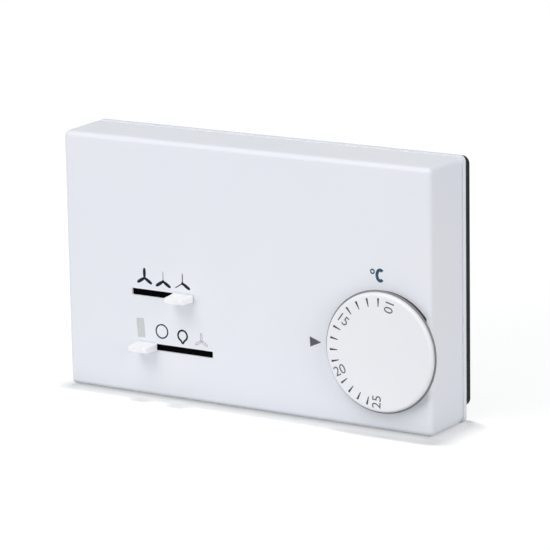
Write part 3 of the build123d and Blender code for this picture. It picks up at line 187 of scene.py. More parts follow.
# Moulded plastic: drift of tone, worn edges, settled dust, grain as bump
def plasticFinish(name, look):
    material, tree, shader = startMaterial(name)
    grain = useGroup(tree, grainGroup, {"Grain Scale": look["grainScale"], "Drift Scale": look["driftScale"]})
    edge = useGroup(tree, edgeGroup, {"Radius": look["edgeRadius"], "Breakup": look["edgeBreakup"]})
    dust = useGroup(tree, dustGroup, {"Speck Scale": look["dustScale"]})
    tone = mixColour(tree, grain["Drift"], rgba(look["colour"]), rgba(look["driftColour"]))
    worn = math2(tree, "MULTIPLY", edge["Mask"], look["edgeAmount"])
    tone = mixColour(tree, worn, tone, rgba(look["edgeColour"]))
    settled = math2(tree, "MULTIPLY", dust["Mask"], look["dustAmount"])
    tone = mixColour(tree, settled, tone, rgba(look["dustColour"]))
    tree.links.new(tone, shader.inputs["Base Color"])
    gloss = mapRange(tree, grain["Smear"], 0.0, 1.0, look["roughLow"], look["roughHigh"])
    gloss = math2(tree, "MULTIPLY_ADD", settled, look["dustRough"], gloss, clamp=True)
    tree.links.new(gloss, shader.inputs["Roughness"])
    bump = {"Height": grain["Height"], "Strength": look["grainStrength"], "Distance": look["grainDepth"]}
    tree.links.new(addNode(tree, "ShaderNodeBump", bump).outputs["Normal"], shader.inputs["Normal"])
    shader.inputs["Specular IOR Level"].default_value = look["specular"]
    return material


# Metal: drawn lines in the gloss and the bump, tarnish in the colour, bright worn edges
def metalFinish(name, look):
    material, tree, shader = startMaterial(name)
    stretch = dict(zip(("Stretch X", "Stretch Y", "Stretch Z"), look["stretch"]))
    drawn = useGroup(tree, drawnGroup, {"Scale": look["lineScale"], **stretch})
    edge = useGroup(tree, edgeGroup, {"Radius": look["edgeRadius"], "Breakup": look["edgeBreakup"]})
    tone = mixColour(tree, drawn["Tarnish"], rgba(look["colour"]), rgba(look["tarnishColour"]))
    worn = math2(tree, "MULTIPLY", edge["Mask"], look["edgeAmount"])
    tone = mixColour(tree, worn, tone, rgba(look["edgeColour"]))
    tree.links.new(tone, shader.inputs["Base Color"])
    gloss = mapRange(tree, drawn["Line"], 0.25, 0.75, look["roughLow"], look["roughHigh"])
    tree.links.new(gloss, shader.inputs["Roughness"])
    bump = {"Height": drawn["Line"], "Strength": look["lineStrength"], "Distance": look["lineDepth"]}
    tree.links.new(addNode(tree, "ShaderNodeBump", bump).outputs["Normal"], shader.inputs["Normal"])
    shader.inputs["Metallic"].default_value = look["metallic"]
    return material


# What the moulded plastics share; each finish below changes what is its own
commonPlastic = {
    "grainScale": 2600.0, "grainStrength": 0.25, "grainDepth": 0.00002, "driftScale": 22.0,
    "edgeRadius": 0.0006, "edgeBreakup": 300.0, "edgeAmount": 0.25,
    "dustScale": 900.0, "dustAmount": 0.0, "dustColour": (0.55, 0.53, 0.50), "dustRough": 0.3,
    "roughLow": 0.38, "roughHigh": 0.48, "specular": 0.5,
}
whitePlastic = {
    "colour": (0.790, 0.815, 0.875), "driftColour": (0.815, 0.832, 0.875), "edgeColour": (0.87, 0.89, 0.93),
    "dustAmount": 0.03, "grainStrength": 0.2,
}
plasticLooks = {
    "cover_plastic": {**whitePlastic, "driftScale": 16.0},
    "dial_plastic": {**whitePlastic, "colour": (0.825, 0.838, 0.872), "driftColour": (0.845, 0.855, 0.88)},
    # The knobs' white is lighter than the cover's partly as painted light, making up for light their tops
    # don't get
    "knob_plastic": {**whitePlastic, "colour": (0.905, 0.912, 0.93), "driftColour": (0.915, 0.92, 0.935)},
    "base_plastic": {
        "colour": (0.005, 0.005, 0.006), "driftColour": (0.009, 0.009, 0.0105),
        "edgeColour": (0.02, 0.02, 0.022), "roughLow": 0.5, "roughHigh": 0.65,
        "grainScale": 1900.0, "grainStrength": 0.6, "dustAmount": 0.01, "specular": 0.12,
    },
    "slider_plastic": {
        "colour": (0.0025, 0.0025, 0.003), "driftColour": (0.004, 0.004, 0.0045),
        "edgeColour": (0.010, 0.010, 0.011), "roughLow": 0.6, "roughHigh": 0.75, "specular": 0.0,
    },
    # The seal ring's dark colour is painted shade: it stands in for the shadow in the gap under the dial's
    # rim
    "seal_rubber": {
        "colour": (0.10, 0.093, 0.096), "driftColour": (0.125, 0.117, 0.12), "edgeColour": (0.16, 0.16, 0.16),
        "roughLow": 0.6, "roughHigh": 0.75, "grainScale": 1500.0, "grainStrength": 0.5, "specular": 0.1,
    },
    # The trim ring's grey is painted shade: it draws the shadow line round the dial's base
    "trim_rubber": {
        "colour": (0.25, 0.243, 0.25), "driftColour": (0.28, 0.273, 0.28), "edgeColour": (0.33, 0.33, 0.33),
        "roughLow": 0.6, "roughHigh": 0.75, "grainScale": 1500.0, "grainStrength": 0.5, "specular": 0.1,
    },
    "switch_plastic": {
        "colour": (0.030, 0.031, 0.035), "driftColour": (0.042, 0.042, 0.046),
        "edgeColour": (0.11, 0.11, 0.12),
    },
    "frame_plastic": {
        "colour": (0.085, 0.060, 0.042), "driftColour": (0.115, 0.082, 0.055),
        "edgeColour": (0.24, 0.18, 0.13), "roughLow": 0.45, "roughHigh": 0.6,
        "grainScale": 1500.0, "grainStrength": 0.5,
    },
    "terminal_plastic": {
        "colour": (0.30, 0.315, 0.335), "driftColour": (0.34, 0.35, 0.365), "edgeColour": (0.50, 0.51, 0.53),
    },
    "spindle_plastic": {
        "colour": (0.72, 0.71, 0.66), "driftColour": (0.76, 0.75, 0.71), "edgeColour": (0.84, 0.83, 0.80),
    },
    "ring_plastic": {
        "colour": (0.46, 0.060, 0.048), "driftColour": (0.53, 0.080, 0.060), "edgeColour": (0.66, 0.20, 0.17),
    },
    "capacitor_case": {
        "colour": (0.72, 0.47, 0.075), "driftColour": (0.77, 0.53, 0.11), "edgeColour": (0.85, 0.66, 0.28),
        "roughLow": 0.25, "roughHigh": 0.38,
    },
    "heater_body": {
        "colour": (0.55, 0.40, 0.24), "driftColour": (0.62, 0.47, 0.30), "edgeColour": (0.70, 0.56, 0.40),
        "driftScale": 160.0, "roughLow": 0.3, "roughHigh": 0.5,
    },
    "wire_sleeve": {
        "colour": (0.19, 0.19, 0.215), "driftColour": (0.23, 0.23, 0.25), "edgeColour": (0.3, 0.3, 0.32),
        "grainScale": 1400.0, "roughLow": 0.42, "roughHigh": 0.58,
    },
}
commonMetal = {
    "lineScale": 700.0, "stretch": (1.0, 1.0, 1.0), "lineStrength": 0.3, "lineDepth": 0.00002,
    "edgeRadius": 0.0003, "edgeBreakup": 700.0, "edgeAmount": 0.45,
    "roughLow": 0.22, "roughHigh": 0.42, "metallic": 1.0,
}
metalLooks = {
    "brass": {
        "colour": (0.72, 0.50, 0.20), "tarnishColour": (0.52, 0.34, 0.13), "edgeColour": (0.86, 0.68, 0.38),
        "stretch": (1.0, 0.06, 1.0),
    },
    "zinc_steel": {
        "colour": (0.62, 0.62, 0.63), "tarnishColour": (0.50, 0.50, 0.53), "edgeColour": (0.75, 0.75, 0.76),
        "roughLow": 0.3, "roughHigh": 0.5,
    },
    "spring_steel": {
        "colour": (0.46, 0.46, 0.47), "tarnishColour": (0.36, 0.35, 0.35), "edgeColour": (0.6, 0.6, 0.6),
        "stretch": (0.06, 1.0, 1.0),
    },
    "bimetal": {
        "colour": (0.56, 0.53, 0.48), "tarnishColour": (0.46, 0.41, 0.35), "edgeColour": (0.68, 0.66, 0.62),
        "stretch": (1.0, 1.0, 0.04),
    },
    "silver_contact": {
        "colour": (0.80, 0.79, 0.77), "tarnishColour": (0.62, 0.59, 0.54), "edgeColour": (0.9, 0.9, 0.89),
    },
    "magnet": {
        "colour": (0.10, 0.10, 0.108), "tarnishColour": (0.15, 0.145, 0.145), "edgeColour": (0.3, 0.3, 0.3),
        "roughLow": 0.4, "roughHigh": 0.6, "metallic": 0.8,
    },
}

# Circuit board: tan laminate under a thin lacquer, with darker tracks running both ways
boardLook = {
    "laminate": (0.36, 0.235, 0.085), "laminateDrift": (0.42, 0.285, 0.115), "track": (0.205, 0.150, 0.050),
    "trackScale": 62.0, "trackWidth": 0.80, "trackEdge": 0.06, "trackStrength": 0.4, "trackDepth": 0.00004,
    "patchScale": 75.0, "weaveScale": 1800.0, "driftScale": 60.0, "roughness": (0.32, 0.48),
}


def boardFinish(name, look):
    material, tree, shader = startMaterial(name)
    where = addNode(tree, "ShaderNodeTexCoord").outputs["Object"]
    grain = useGroup(tree, grainGroup, {"Grain Scale": look["weaveScale"], "Drift Scale": look["driftScale"]})
    masks = []
    for direction in ("X", "Z"):
        waveSockets = {"Vector": where, "Scale": look["trackScale"], "Distortion": 0.0}
        wave = addNode(tree, "ShaderNodeTexWave", waveSockets, bands_direction=direction).outputs["Fac"]
        edges = (look["trackWidth"], look["trackWidth"] + look["trackEdge"])
        masks.append(mapRange(tree, wave, *edges, 0.0, 1.0))
    patches = mapRange(tree, noise(tree, where, look["patchScale"], 0.0), 0.48, 0.52, 0.0, 1.0)
    tracks = mixColour(tree, patches, masks[0], masks[1])
    tone = mixColour(tree, grain["Drift"], rgba(look["laminate"]), rgba(look["laminateDrift"]))
    tone = mixColour(tree, tracks, tone, rgba(look["track"]))
    tree.links.new(tone, shader.inputs["Base Color"])
    gloss = mapRange(tree, grain["Smear"], 0.0, 1.0, *look["roughness"])
    tree.links.new(gloss, shader.inputs["Roughness"])
    bump = {"Height": tracks, "Strength": look["trackStrength"], "Distance": look["trackDepth"]}
    tree.links.new(addNode(tree, "ShaderNodeBump", bump).outputs["Normal"], shader.inputs["Normal"])
    return material


# Printing ink: a thin film that lets a little of the plastic through in places
def inkFinish(name, look):
    material, tree, shader = startMaterial(name)
    grain = useGroup(tree, grainGroup, {"Grain Scale": look["poreScale"], "Drift Scale": look["driftScale"]})
    tone = mixColour(tree, grain["Drift"], rgba(look["colour"]), rgba(look["thinColour"]))
    tree.links.new(tone, shader.inputs["Base Color"])
    gloss = mapRange(tree, grain["Smear"], 0.0, 1.0, look["roughLow"], look["roughHigh"])
    tree.links.new(gloss, shader.inputs["Roughness"])
    bump = {"Height": grain["Height"], "Strength": look["poreStrength"], "Distance": look["poreDepth"]}
    tree.links.new(addNode(tree, "ShaderNodeBump", bump).outputs["Normal"], shader.inputs["Normal"])
    shader.inputs["Specular IOR Level"].default_value = look["specular"]
    return material


commonInk = {
    "poreScale": 3000.0, "poreStrength": 0.3, "poreDepth": 0.00001, "driftScale": 500.0,
    "roughLow": 0.45, "roughHigh": 0.6, "specular": 0.15,
}
inkLooks = {
    "navyInk": {"colour": (0.006, 0.007, 0.020), "thinColour": (0.014, 0.015, 0.032)},
    "tickInk": {"colour": (0.030, 0.030, 0.036), "thinColour": (0.075, 0.075, 0.082)},
    "numeralInk": {"colour": (0.10, 0.10, 0.11), "thinColour": (0.17, 0.17, 0.18)},
    "petrolInk": {"colour": (0.018, 0.060, 0.095), "thinColour": (0.045, 0.10, 0.145)},
    "paleInk": {"colour": (0.575, 0.59, 0.60), "thinColour": (0.62, 0.63, 0.635)},
    "pointerInk": {"colour": (0.095, 0.093, 0.105), "thinColour": (0.13, 0.13, 0.14)},
    "faintInk": {"colour": (0.33, 0.33, 0.38), "thinColour": (0.42, 0.42, 0.46)},
}

finishes = {slot: plasticFinish(slot, {**commonPlastic, **look}) for slot, look in plasticLooks.items()}
finishes.update({slot: metalFinish(slot, {**commonMetal, **look}) for slot, look in metalLooks.items()})
finishes["board"] = boardFinish("board", boardLook)
inks = {name: inkFinish(name, {**commonInk, **look}) for name, look in inkLooks.items()}
for node in nodes.values():
    slot = node.material_slots[0].material.name.split(".")[0]
    node.material_slots[0].material = finishes[slot]
print("finishes made:", len(finishes), "and inks:", len(inks))

# Printed marks
inkFilm = {"sunk": 0.02 * mm, "raised": 0.03 * mm}


# A ribbon: every point of a line is pushed half a width to both sides along its normal, and carried
# from the sunk level to the raised one, so each station has four corners and the whole is closed.
# The line is (across, up) on the face; the width may change along it.
def ribbon(line, halfWidth, closed=False):
    line = np.asarray(line, float)
    count = len(line)
    halfWidth = np.broadcast_to(np.asarray(halfWidth, float), (count,))[:, None]
    if closed:
        run = np.roll(line, -1, axis=0) - np.roll(line, 1, axis=0)
    else:
        run = np.gradient(line, axis=0)
    run = run / np.linalg.norm(run, axis=1, keepdims=True)
    side = np.stack([-run[:, 1], run[:, 0]], axis=1) * halfWidth
    left, right = line + side, line - side
    back, front = np.full((count, 1), inkFilm["sunk"]), np.full((count, 1), -inkFilm["raised"])
    corners = [(left, back), (right, back), (right, front), (left, front)]
    points = np.stack([np.hstack(corner) for corner in corners], axis=1).reshape(-1, 3)[:, [0, 2, 1]]
    station = np.arange(count if closed else count - 1)[:, None] * 4
    after = (station + 4) % (count * 4)
    corner = np.arange(4)[None, :]
    following = (corner + 1) % 4
    quads = np.stack([station + corner, after + corner, after + following, station + following], axis=-1)
    faces = quads.reshape(-1, 4)
    if not closed:
        caps = np.array([[0, 1, 2, 3], [count * 4 - 1, count * 4 - 2, count * 4 - 3, count * 4 - 4]])
        faces = np.vstack([faces, caps])
    return points, faces


# A closed mesh with its faces outward that rides a body
def meshPiece(name, points, faces, material, body):
    mesh = bpy.data.meshes.new(name)
    mesh.from_pydata(points.tolist(), [], faces)
    tidy = bmesh.new()
    tidy.from_mesh(mesh)
    bmesh.ops.recalc_face_normals(tidy, faces=tidy.faces)
    tidy.to_mesh(mesh)
    tidy.free()
    mesh.materials.append(material)
    piece = bpy.data.objects.new(name, mesh)
    bpy.context.scene.collection.objects.link(piece)
    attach(piece, body)
    return piece


# Joins shapes into one piece of ink; the shapes are moved to the face's level
def inkPiece(name, shapes, faceY, body, ink):
    allPoints, allFaces = zip(*shapes)
    starts = np.cumsum([0] + [len(points) for points in allPoints[:-1]])
    points = np.vstack(allPoints) + np.array([0.0, faceY, 0.0])
    faces = np.vstack([faces + start for faces, start in zip(allFaces, starts)])
    return meshPiece(name, points, faces.tolist(), inks[ink], body)


def turned(line, degrees, middle):
    turn = math.radians(degrees)
    matrix = np.array([[math.cos(turn), math.sin(turn)], [-math.sin(turn), math.cos(turn)]])
    return np.asarray(line) @ matrix + np.asarray(middle)


def ellipse(middle, radiusX, radiusZ, first=0.0, last=360.0, count=48):
    angle = np.radians(np.linspace(first, last, count, endpoint=last - first < 360.0))
    return np.stack([middle[0] + radiusX * np.cos(angle), middle[1] + radiusZ * np.sin(angle)], axis=1)


fanIcons = {
    "hubRadius": 0.6 * mm, "hubHalfWidth": 0.27 * mm, "bladeStart": 0.1 * mm, "bladeEnd": 3.9 * mm,
    "bladeHalfWidth": 0.64 * mm, "bladePower": 2.6, "lineHalfWidth": 0.12 * mm, "thinHalfWidth": 0.20 * mm,
    "angles": (90.0, 211.0, 329.0), "count": 25,
}


# A fan blade lies along its radius; its half width is that of a squared ellipse,
# w(t) = W * (1 - |2t - 1|^p)^(1/p). A filled blade is one ribbon, an open one a ribbon round its outline.
def fanBlade(middle, angle, filled, size=1.0, halfWidth=None):
    look = fanIcons
    halfWidth = halfWidth or look["bladeHalfWidth"]
    along = (1 - np.cos(np.linspace(0.0, math.pi, look["count"]))) / 2
    width = halfWidth * (1 - np.abs(2 * along - 1) ** look["bladePower"]) ** (1 / look["bladePower"])
    reach = look["bladeStart"] + (look["bladeEnd"] * size - look["bladeStart"]) * along
    if filled:
        width = np.maximum(width, look["lineHalfWidth"] / 4)
        line = np.stack([reach, np.zeros_like(reach)], axis=1)
        return ribbon(turned(line, angle, middle), width)
    outline = np.vstack([
        np.stack([reach, width], axis=1),
        np.stack([reach[-2:0:-1], -width[-2:0:-1]], axis=1),
    ])
    return ribbon(turned(outline, angle, middle), look["lineHalfWidth"], closed=True)


# A hub is a ribbon round its middle that leaves a pinhole
def fanHub(middle):
    radius = fanIcons["hubRadius"] - fanIcons["hubHalfWidth"]
    return ribbon(ellipse(middle, radius, radius, count=20), fanIcons["hubHalfWidth"], closed=True)


# Fan speeds: as many full blades as the speed, the others thin
fanMarks = {
    "middles": [(-44.0 * mm, -3.9 * mm), (-35.6 * mm, -4.4 * mm), (-26.9 * mm, -4.2 * mm)],
    "filled": [(0, 1, 2), (1, 2), (2,)],
    "thinInks": ["navyInk", "faintInk", "navyInk"],
}
for index, (middle, filled, thinInk) in enumerate(zip(*fanMarks.values())):
    solid = [fanBlade(middle, fanIcons["angles"][blade], True) for blade in filled] + [fanHub(middle)]
    inkPiece(f"fanSpeedMark{index + 1}", solid, frontFaceY, "case", "navyInk")
    thin = [
        fanBlade(middle, angle, True, halfWidth=fanIcons["thinHalfWidth"])
        for blade, angle in enumerate(fanIcons["angles"]) if blade not in filled
    ]
    if thin:
        inkPiece(f"fanSpeedThin{index + 1}", thin, frontFaceY, "case", thinInk)

# Modes: a bar, a ring, a drop and an open fan
modeMarks = {
    "barX": -46.2 * mm, "barLow": -27.1 * mm, "barHigh": -19.7 * mm,
    "barHalfWidth": 1.7 * mm, "barLean": 0.25 * mm,
    "ringMiddle": (-36.7 * mm, -23.8 * mm), "ringRadius": 2.6 * mm, "ringHalfWidth": 0.27 * mm,
    "dropMiddle": (-27.4 * mm, -24.4 * mm), "dropRadius": 2.05 * mm, "dropHalfWidth": 0.36 * mm,
    "dropTip": 2.95 * mm, "dropSharpness": 40,
    "fanMiddle": (-19.0 * mm, -25.5 * mm), "fanSize": 0.78, "fanHalfWidth": 0.36 * mm,
}
bar = [
    (modeMarks["barX"] - modeMarks["barLean"], modeMarks["barHigh"]),
    (modeMarks["barX"] + modeMarks["barLean"], modeMarks["barLow"]),
]
inkPiece("modeBarMark", [ribbon(bar, modeMarks["barHalfWidth"])], frontFaceY, "case", "paleInk")
ring = ellipse(modeMarks["ringMiddle"], modeMarks["ringRadius"], modeMarks["ringRadius"])
ringShape = ribbon(ring, modeMarks["ringHalfWidth"], closed=True)
inkPiece("modeRingMark", [ringShape], frontFaceY, "case", "navyInk")


# A drop: a circle whose radius grows to the tip straight below, r(a) = R + (T - R) * cos(a)^s,
# with the angle a counted from below and s the sharpness
def dropLine(look, count=72):
    middle, radius = look["dropMiddle"], look["dropRadius"]
    angle = np.linspace(0.0, 2 * math.pi, count, endpoint=False)
    swell = np.clip(np.cos(angle), 0.0, 1.0) ** look["dropSharpness"]
    reach = radius + (look["dropTip"] - radius) * swell
    return np.stack([middle[0] + reach * np.sin(angle), middle[1] - reach * np.cos(angle)], axis=1)


dropShape = ribbon(dropLine(modeMarks), modeMarks["dropHalfWidth"], closed=True)
inkPiece("modeDropMark", [dropShape], frontFaceY, "case", "navyInk")
modeFan = [
    fanBlade(modeMarks["fanMiddle"], angle, False, modeMarks["fanSize"], modeMarks["fanHalfWidth"])
    for angle in fanIcons["angles"]
]
inkPiece("modeFanMark", modeFan, frontFaceY, "case", "faintInk")

# Pointer beside the dial and the degree sign over it
pointer = {
    "tip": (33.3 * mm, -19.5 * mm), "base": (28.6 * mm, -19.7 * mm),
    "baseHalfWidth": 1.95 * mm, "tipHalfWidth": 0.06 * mm,
}
pointerLine = [pointer["base"], pointer["tip"]]
pointerShape = ribbon(pointerLine, [pointer["baseHalfWidth"], pointer["tipHalfWidth"]])
inkPiece("pointerMark", [pointerShape], frontFaceY, "case", "pointerInk")
degreeSign = {
    "ringMiddle": (55.4 * mm, 9.6 * mm), "ringRadius": 0.75 * mm, "ringHalfWidth": 0.27 * mm,
    "letterMiddle": (58.6 * mm, 8.4 * mm), "letterRadii": (1.35 * mm, 2.0 * mm), "letterHalfWidth": 0.60 * mm,
    "letterFirst": 48.0, "letterLast": 312.0,
}
degreeRing = ellipse(degreeSign["ringMiddle"], degreeSign["ringRadius"], degreeSign["ringRadius"], count=28)
letter = ellipse(
    degreeSign["letterMiddle"], *degreeSign["letterRadii"],
    degreeSign["letterFirst"], degreeSign["letterLast"],
)
degreeShapes = [
    ribbon(degreeRing, degreeSign["ringHalfWidth"], closed=True),
    ribbon(letter, degreeSign["letterHalfWidth"]),
]
inkPiece("degreeMark", degreeShapes, frontFaceY, "case", "petrolInk")
print("front marks made")

# Dial scale: one tick a degree, a number at every fifth
dialScale = {
    "firstAngle": 76.0, "lastAngle": 267.5, "bow": 4.5, "steps": 15, "numberEvery": 5, "firstNumber": 10,
    "tickInner": 17.2 * mm, "tickOuter": 20.4 * mm, "innerHalfWidth": 0.14 * mm, "outerHalfWidth": 0.40 * mm,
    "numberRadius": 18.3 * mm, "numberHeight": 3.6 * mm, "heightShare": 0.7, "weld": 0.002 * mm,
}
dialMiddle = (dialX, dialZ)
tickShapes = []
numberPlaces = []
for step in range(dialScale["steps"] + 1):
    part = step / dialScale["steps"]  # the scale is a little wider at its cold end
    angle = dialScale["firstAngle"] + (dialScale["lastAngle"] - dialScale["firstAngle"]) * part
    angle += dialScale["bow"] * math.sin(math.pi * part)
    if step % dialScale["numberEvery"] == 0:
        numberPlaces.append((angle, str(dialScale["firstNumber"] + step)))
        continue
    tickLine = turned([(dialScale["tickInner"], 0.0), (dialScale["tickOuter"], 0.0)], angle, dialMiddle)
    tickShapes.append(ribbon(tickLine, [dialScale["innerHalfWidth"], dialScale["outerHalfWidth"]]))
inkPiece("dialTicks", tickShapes, dialFaceY, "dial", "tickInk")


# A number is set as text, made a mesh and then turned upright to the pointer and put in its place
def dialNumber(words, angle):
    curve = bpy.data.curves.new("number" + words, "FONT")
    curve.body = words
    curve.align_x = "CENTER"
    curve.align_y = "CENTER"
    curve.size = dialScale["numberHeight"] / dialScale["heightShare"]  # a figure fills this share of the size
    curve.extrude = (inkFilm["sunk"] + inkFilm["raised"]) / 2
    curve.resolution_u = 6
    setText = bpy.data.objects.new("setText", curve)
    bpy.context.scene.collection.objects.link(setText)
    bpy.context.view_layer.update()
    mesh = bpy.data.meshes.new_from_object(setText.evaluated_get(bpy.context.evaluated_depsgraph_get()))
    bpy.data.objects.remove(setText)
    bpy.data.curves.remove(curve)
    mesh.name = "dialNumber" + words
    tidy = bmesh.new()
    tidy.from_mesh(mesh)
    bmesh.ops.remove_doubles(tidy, verts=tidy.verts, dist=dialScale["weld"])
    tidy.to_mesh(mesh)
    tidy.free()
    turn = math.radians(angle)
    place = Vector((
        dialX + dialScale["numberRadius"] * math.cos(turn),
        dialFaceY - (inkFilm["raised"] - inkFilm["sunk"]) / 2,
        dialZ + dialScale["numberRadius"] * math.sin(turn),
    ))
    upright = Matrix.Rotation(math.radians(90.0), 4, "X")  # text stands up and faces the room
    spin = Matrix.Rotation(math.pi - turn, 4, "Y")
    mesh.transform(Matrix.Translation(place) @ spin @ upright)
    mesh.materials.clear()
    mesh.materials.append(inks["numeralInk"])
    piece = bpy.data.objects.new(mesh.name, mesh)
    bpy.context.scene.collection.objects.link(piece)
    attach(piece, "dial")
    return piece


for angle, words in numberPlaces:
    dialNumber(words, angle)
print("dial scale made:", len(tickShapes), "ticks and", len(numberPlaces), "numbers")

# Lever spring: takes the place of the plain coil, with closed end turns; it rides the case at one length,
# though the lever presses the real one
leverCoil = {
    "wireRadius": 0.35 * mm, "activeTurns": 5, "endPitch": 0.8 * mm,
    "stations": 281, "sides": 14, "keep": 0.965,
}


# A tube round a helix: the middle line is (R cos a, R sin a, z(a)), where one turn at each end rises by the
# end pitch and the turns between share the rest; the wire's circle lies on its radial and its second normal
def makeLeverSpring(look):
    low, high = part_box("lever_spring")
    wire, sides, stations = look["wireRadius"], look["sides"], look["stations"]
    radius = (high.x - low.x) / 2 - wire
    angle = np.linspace(0.0, 2 * math.pi * (look["activeTurns"] + 2), stations)
    bottom, top = low.z + wire, high.z - wire
    knots = 2 * math.pi * np.array([0.0, 1.0, look["activeTurns"] + 1.0, look["activeTurns"] + 2.0])
    height = np.interp(angle, knots, [bottom, bottom + look["endPitch"], top - look["endPitch"], top])
    middleX, middleY = (low.x + high.x) / 2, (low.y + high.y) / 2
    line = np.stack([middleX + radius * np.cos(angle), middleY + radius * np.sin(angle), height], axis=1)
    along = np.gradient(line, axis=0)
    along = along / np.linalg.norm(along, axis=1, keepdims=True)
    outward = np.stack([np.cos(angle), np.sin(angle), np.zeros_like(angle)], axis=1)
    second = np.cross(along, outward)
    around = np.linspace(0.0, 2 * math.pi, sides, endpoint=False)[None, :, None]
    rings = line[:, None] + wire * (np.cos(around) * outward[:, None] + np.sin(around) * second[:, None])
    station = np.arange(stations - 1)[:, None] * sides
    after = station + sides
    side = np.arange(sides)[None, :]
    following = (side + 1) % sides
    quads = np.stack([station + side, after + side, after + following, station + following], axis=-1)
    faces = quads.reshape(-1, 4).tolist()
    last = (stations - 1) * sides
    faces += [list(range(sides)), list(range(last, last + sides))[::-1]]  # the wire's two ends
    piece = meshPiece("leverSpring", rings.reshape(-1, 3), faces, finishes["spring_steel"], "case")
    piece.data.shade_smooth()
    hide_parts("lever_spring")
    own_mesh(piece)


makeLeverSpring(leverCoil)
print("lever spring made")

# Floor, backdrop light and lamps
floorLook = {
    "size": 8.0, "colour": (0.87, 0.87, 0.875), "paperScale": 40.0, "paperDrift": 0.01, "roughness": 0.9,
    "nearLift": 0.40, "farLift": 0.57, "near": 0.16, "far": 0.75,
}
skyLook = {"colour": (0.95, 0.97, 1.0), "strength": 0.20}
# The front, top and right lamps light the part alone and one lamp the floor alone, so that a short
# shadow falls to the front and right; the left lamp lights everything
lamps = {
    "keyLamp": {"place": (-0.95, -1.60, 0.14), "size": 1.0, "power": 10.2, "lights": "all"},
    "fillLamp": {"place": (1.75, -0.42, 0.50), "size": 1.2, "power": 15.2, "lights": "part"},
    "frontLamp": {"place": (-0.3, -1.23, 1.54), "size": 1.4, "power": 21.0, "lights": "part"},
    "topLamp": {"place": (0.0, 0.15, 1.6), "size": 0.6, "power": 3.0, "lights": "part"},
    "floorLamp": {"place": (-0.05, 0.07, 1.6), "size": 0.16, "depth": 0.1, "power": 13.0, "lights": "floor"},
}


# One for the rays that should find a white background: straight from the camera, mirrored or let through
def seesBackground(tree):
    path = addNode(tree, "ShaderNodeLightPath").outputs
    seen = math2(tree, "MAXIMUM", path["Is Camera Ray"], path["Is Glossy Ray"])
    return math2(tree, "MAXIMUM", seen, path["Is Transmission Ray"])


def makeFloor():
    half = floorLook["size"] / 2
    level = coverLow.z
    corners = [(-half, -half, level), (half, -half, level), (half, half, level), (-half, half, level)]
    mesh = bpy.data.meshes.new("floor")
    mesh.from_pydata(corners, [], [(0, 1, 2, 3)])
    material, tree, shader = startMaterial("floorPaper")
    where = addNode(tree, "ShaderNodeTexCoord").outputs["Object"]
    paper = mapRange(tree, noise(tree, where, floorLook["paperScale"], 4.0), 0.3, 0.7, 0.0, 1.0)
    lighter = [part + floorLook["paperDrift"] for part in floorLook["colour"]]
    tone = mixColour(tree, paper, rgba(floorLook["colour"]), rgba(lighter))
    tree.links.new(tone, shader.inputs["Base Color"])
    shader.inputs["Roughness"].default_value = floorLook["roughness"]
    shader.inputs["Specular IOR Level"].default_value = 0.0
    shader.inputs["Emission Color"].default_value = (1.0, 1.0, 1.0, 1.0)
    away = addNode(tree, "ShaderNodeVectorMath", {0: where}, operation="LENGTH").outputs["Value"]
    lifts = (floorLook["nearLift"], floorLook["farLift"])
    lift = mapRange(tree, away, floorLook["near"], floorLook["far"], *lifts)
    lift = math2(tree, "MULTIPLY", seesBackground(tree), lift)
    tree.links.new(lift, shader.inputs["Emission Strength"])
    mesh.materials.append(material)
    floor = bpy.data.objects.new("floor", mesh)
    bpy.context.scene.collection.objects.link(floor)
    return floor


def makeSky():
    world = bpy.data.worlds.new("sky")
    world.use_nodes = True
    tree = world.node_tree
    tree.nodes.clear()
    sky = {"Color": rgba(skyLook["colour"]), "Strength": skyLook["strength"]}
    ambient = addNode(tree, "ShaderNodeBackground", sky)
    white = addNode(tree, "ShaderNodeBackground", {"Color": (1.0, 1.0, 1.0, 1.0), "Strength": 1.0})
    sockets = {0: seesBackground(tree), 1: ambient.outputs[0], 2: white.outputs[0]}
    mixed = addNode(tree, "ShaderNodeMixShader", sockets)
    addNode(tree, "ShaderNodeOutputWorld", {"Surface": mixed.outputs[0]})
    bpy.context.scene.world = world


# What a lamp reaches: the floor alone, or everything but the floor
def reachOf(name, floor, state):
    reach = bpy.data.collections.new(name)
    reach.objects.link(floor)
    reach.collection_objects[0].light_linking.link_state = state
    return reach


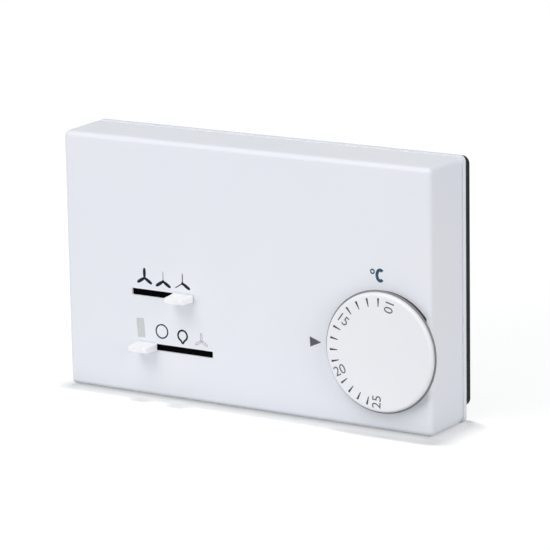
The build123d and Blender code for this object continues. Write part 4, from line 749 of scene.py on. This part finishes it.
def makeLamp(name, look, reach):
    light = bpy.data.lights.new(name, "AREA")
    light.shape = "RECTANGLE"
    light.size = look["size"]
    light.size_y = look.get("depth", look["size"])
    light.energy = look["power"]
    lamp = bpy.data.objects.new(name, light)
    lamp.location = look["place"]
    if "depth" not in look:  # an oblong lamp hangs level, its long side along the front
        lamp.rotation_euler = (-Vector(look["place"])).to_track_quat("-Z", "Y").to_euler()
    if reach:
        lamp.light_linking.receiver_collection = reach
    bpy.context.scene.collection.objects.link(lamp)


floor = makeFloor()
makeSky()
reaches = {
    "all": None,
    "floor": reachOf("floorAlone", floor, "INCLUDE"),
    "part": reachOf("allButFloor", floor, "EXCLUDE"),
}
for name, look in lamps.items():
    makeLamp(name, look, reaches[look["lights"]])
print("floor, sky and lamps made")

# Camera: turned right of the front, a little above and rolled a degree, aimed at the front face
cameraLook = {
    "azimuth": 32.14, "elevation": 13.34, "roll": -1.0, "distance": 1226.2 * mm,
    "focalPixels": 3322.8, "imagePixels": 550.0, "aimRight": 11.805 * mm, "aimUp": 2.042 * mm,
    "sensorWidth": 36.0, "clipStart": 50.0 * mm,
}


def makeCamera(look):
    turn, lift = math.radians(look["azimuth"]), math.radians(look["elevation"])
    roll = math.radians(look["roll"])
    back = Vector((math.sin(turn) * math.cos(lift), -math.cos(turn) * math.cos(lift), math.sin(lift)))
    level = Vector((math.cos(turn), math.sin(turn), 0.0))
    rise = back.cross(level)
    right = level * math.cos(roll) + rise * math.sin(roll)
    up = rise * math.cos(roll) - level * math.sin(roll)
    data = bpy.data.cameras.new("camera")
    data.sensor_width = look["sensorWidth"]
    data.lens = look["focalPixels"] / look["imagePixels"] * look["sensorWidth"]
    data.clip_start = look["clipStart"]
    camera = bpy.data.objects.new("camera", data)
    bpy.context.scene.collection.objects.link(camera)
    aim = Vector((0.0, frontFaceY, 0.0)) + right * look["aimRight"] + up * look["aimUp"]
    place = aim + back * look["distance"]
    turnMatrix = Matrix((right, up, back)).transposed().to_4x4()
    camera.matrix_world = Matrix.Translation(place) @ turnMatrix
    bpy.context.scene.camera = camera


makeCamera(cameraLook)
bpy.context.scene.view_settings.view_transform = "Standard"
print("camera set")
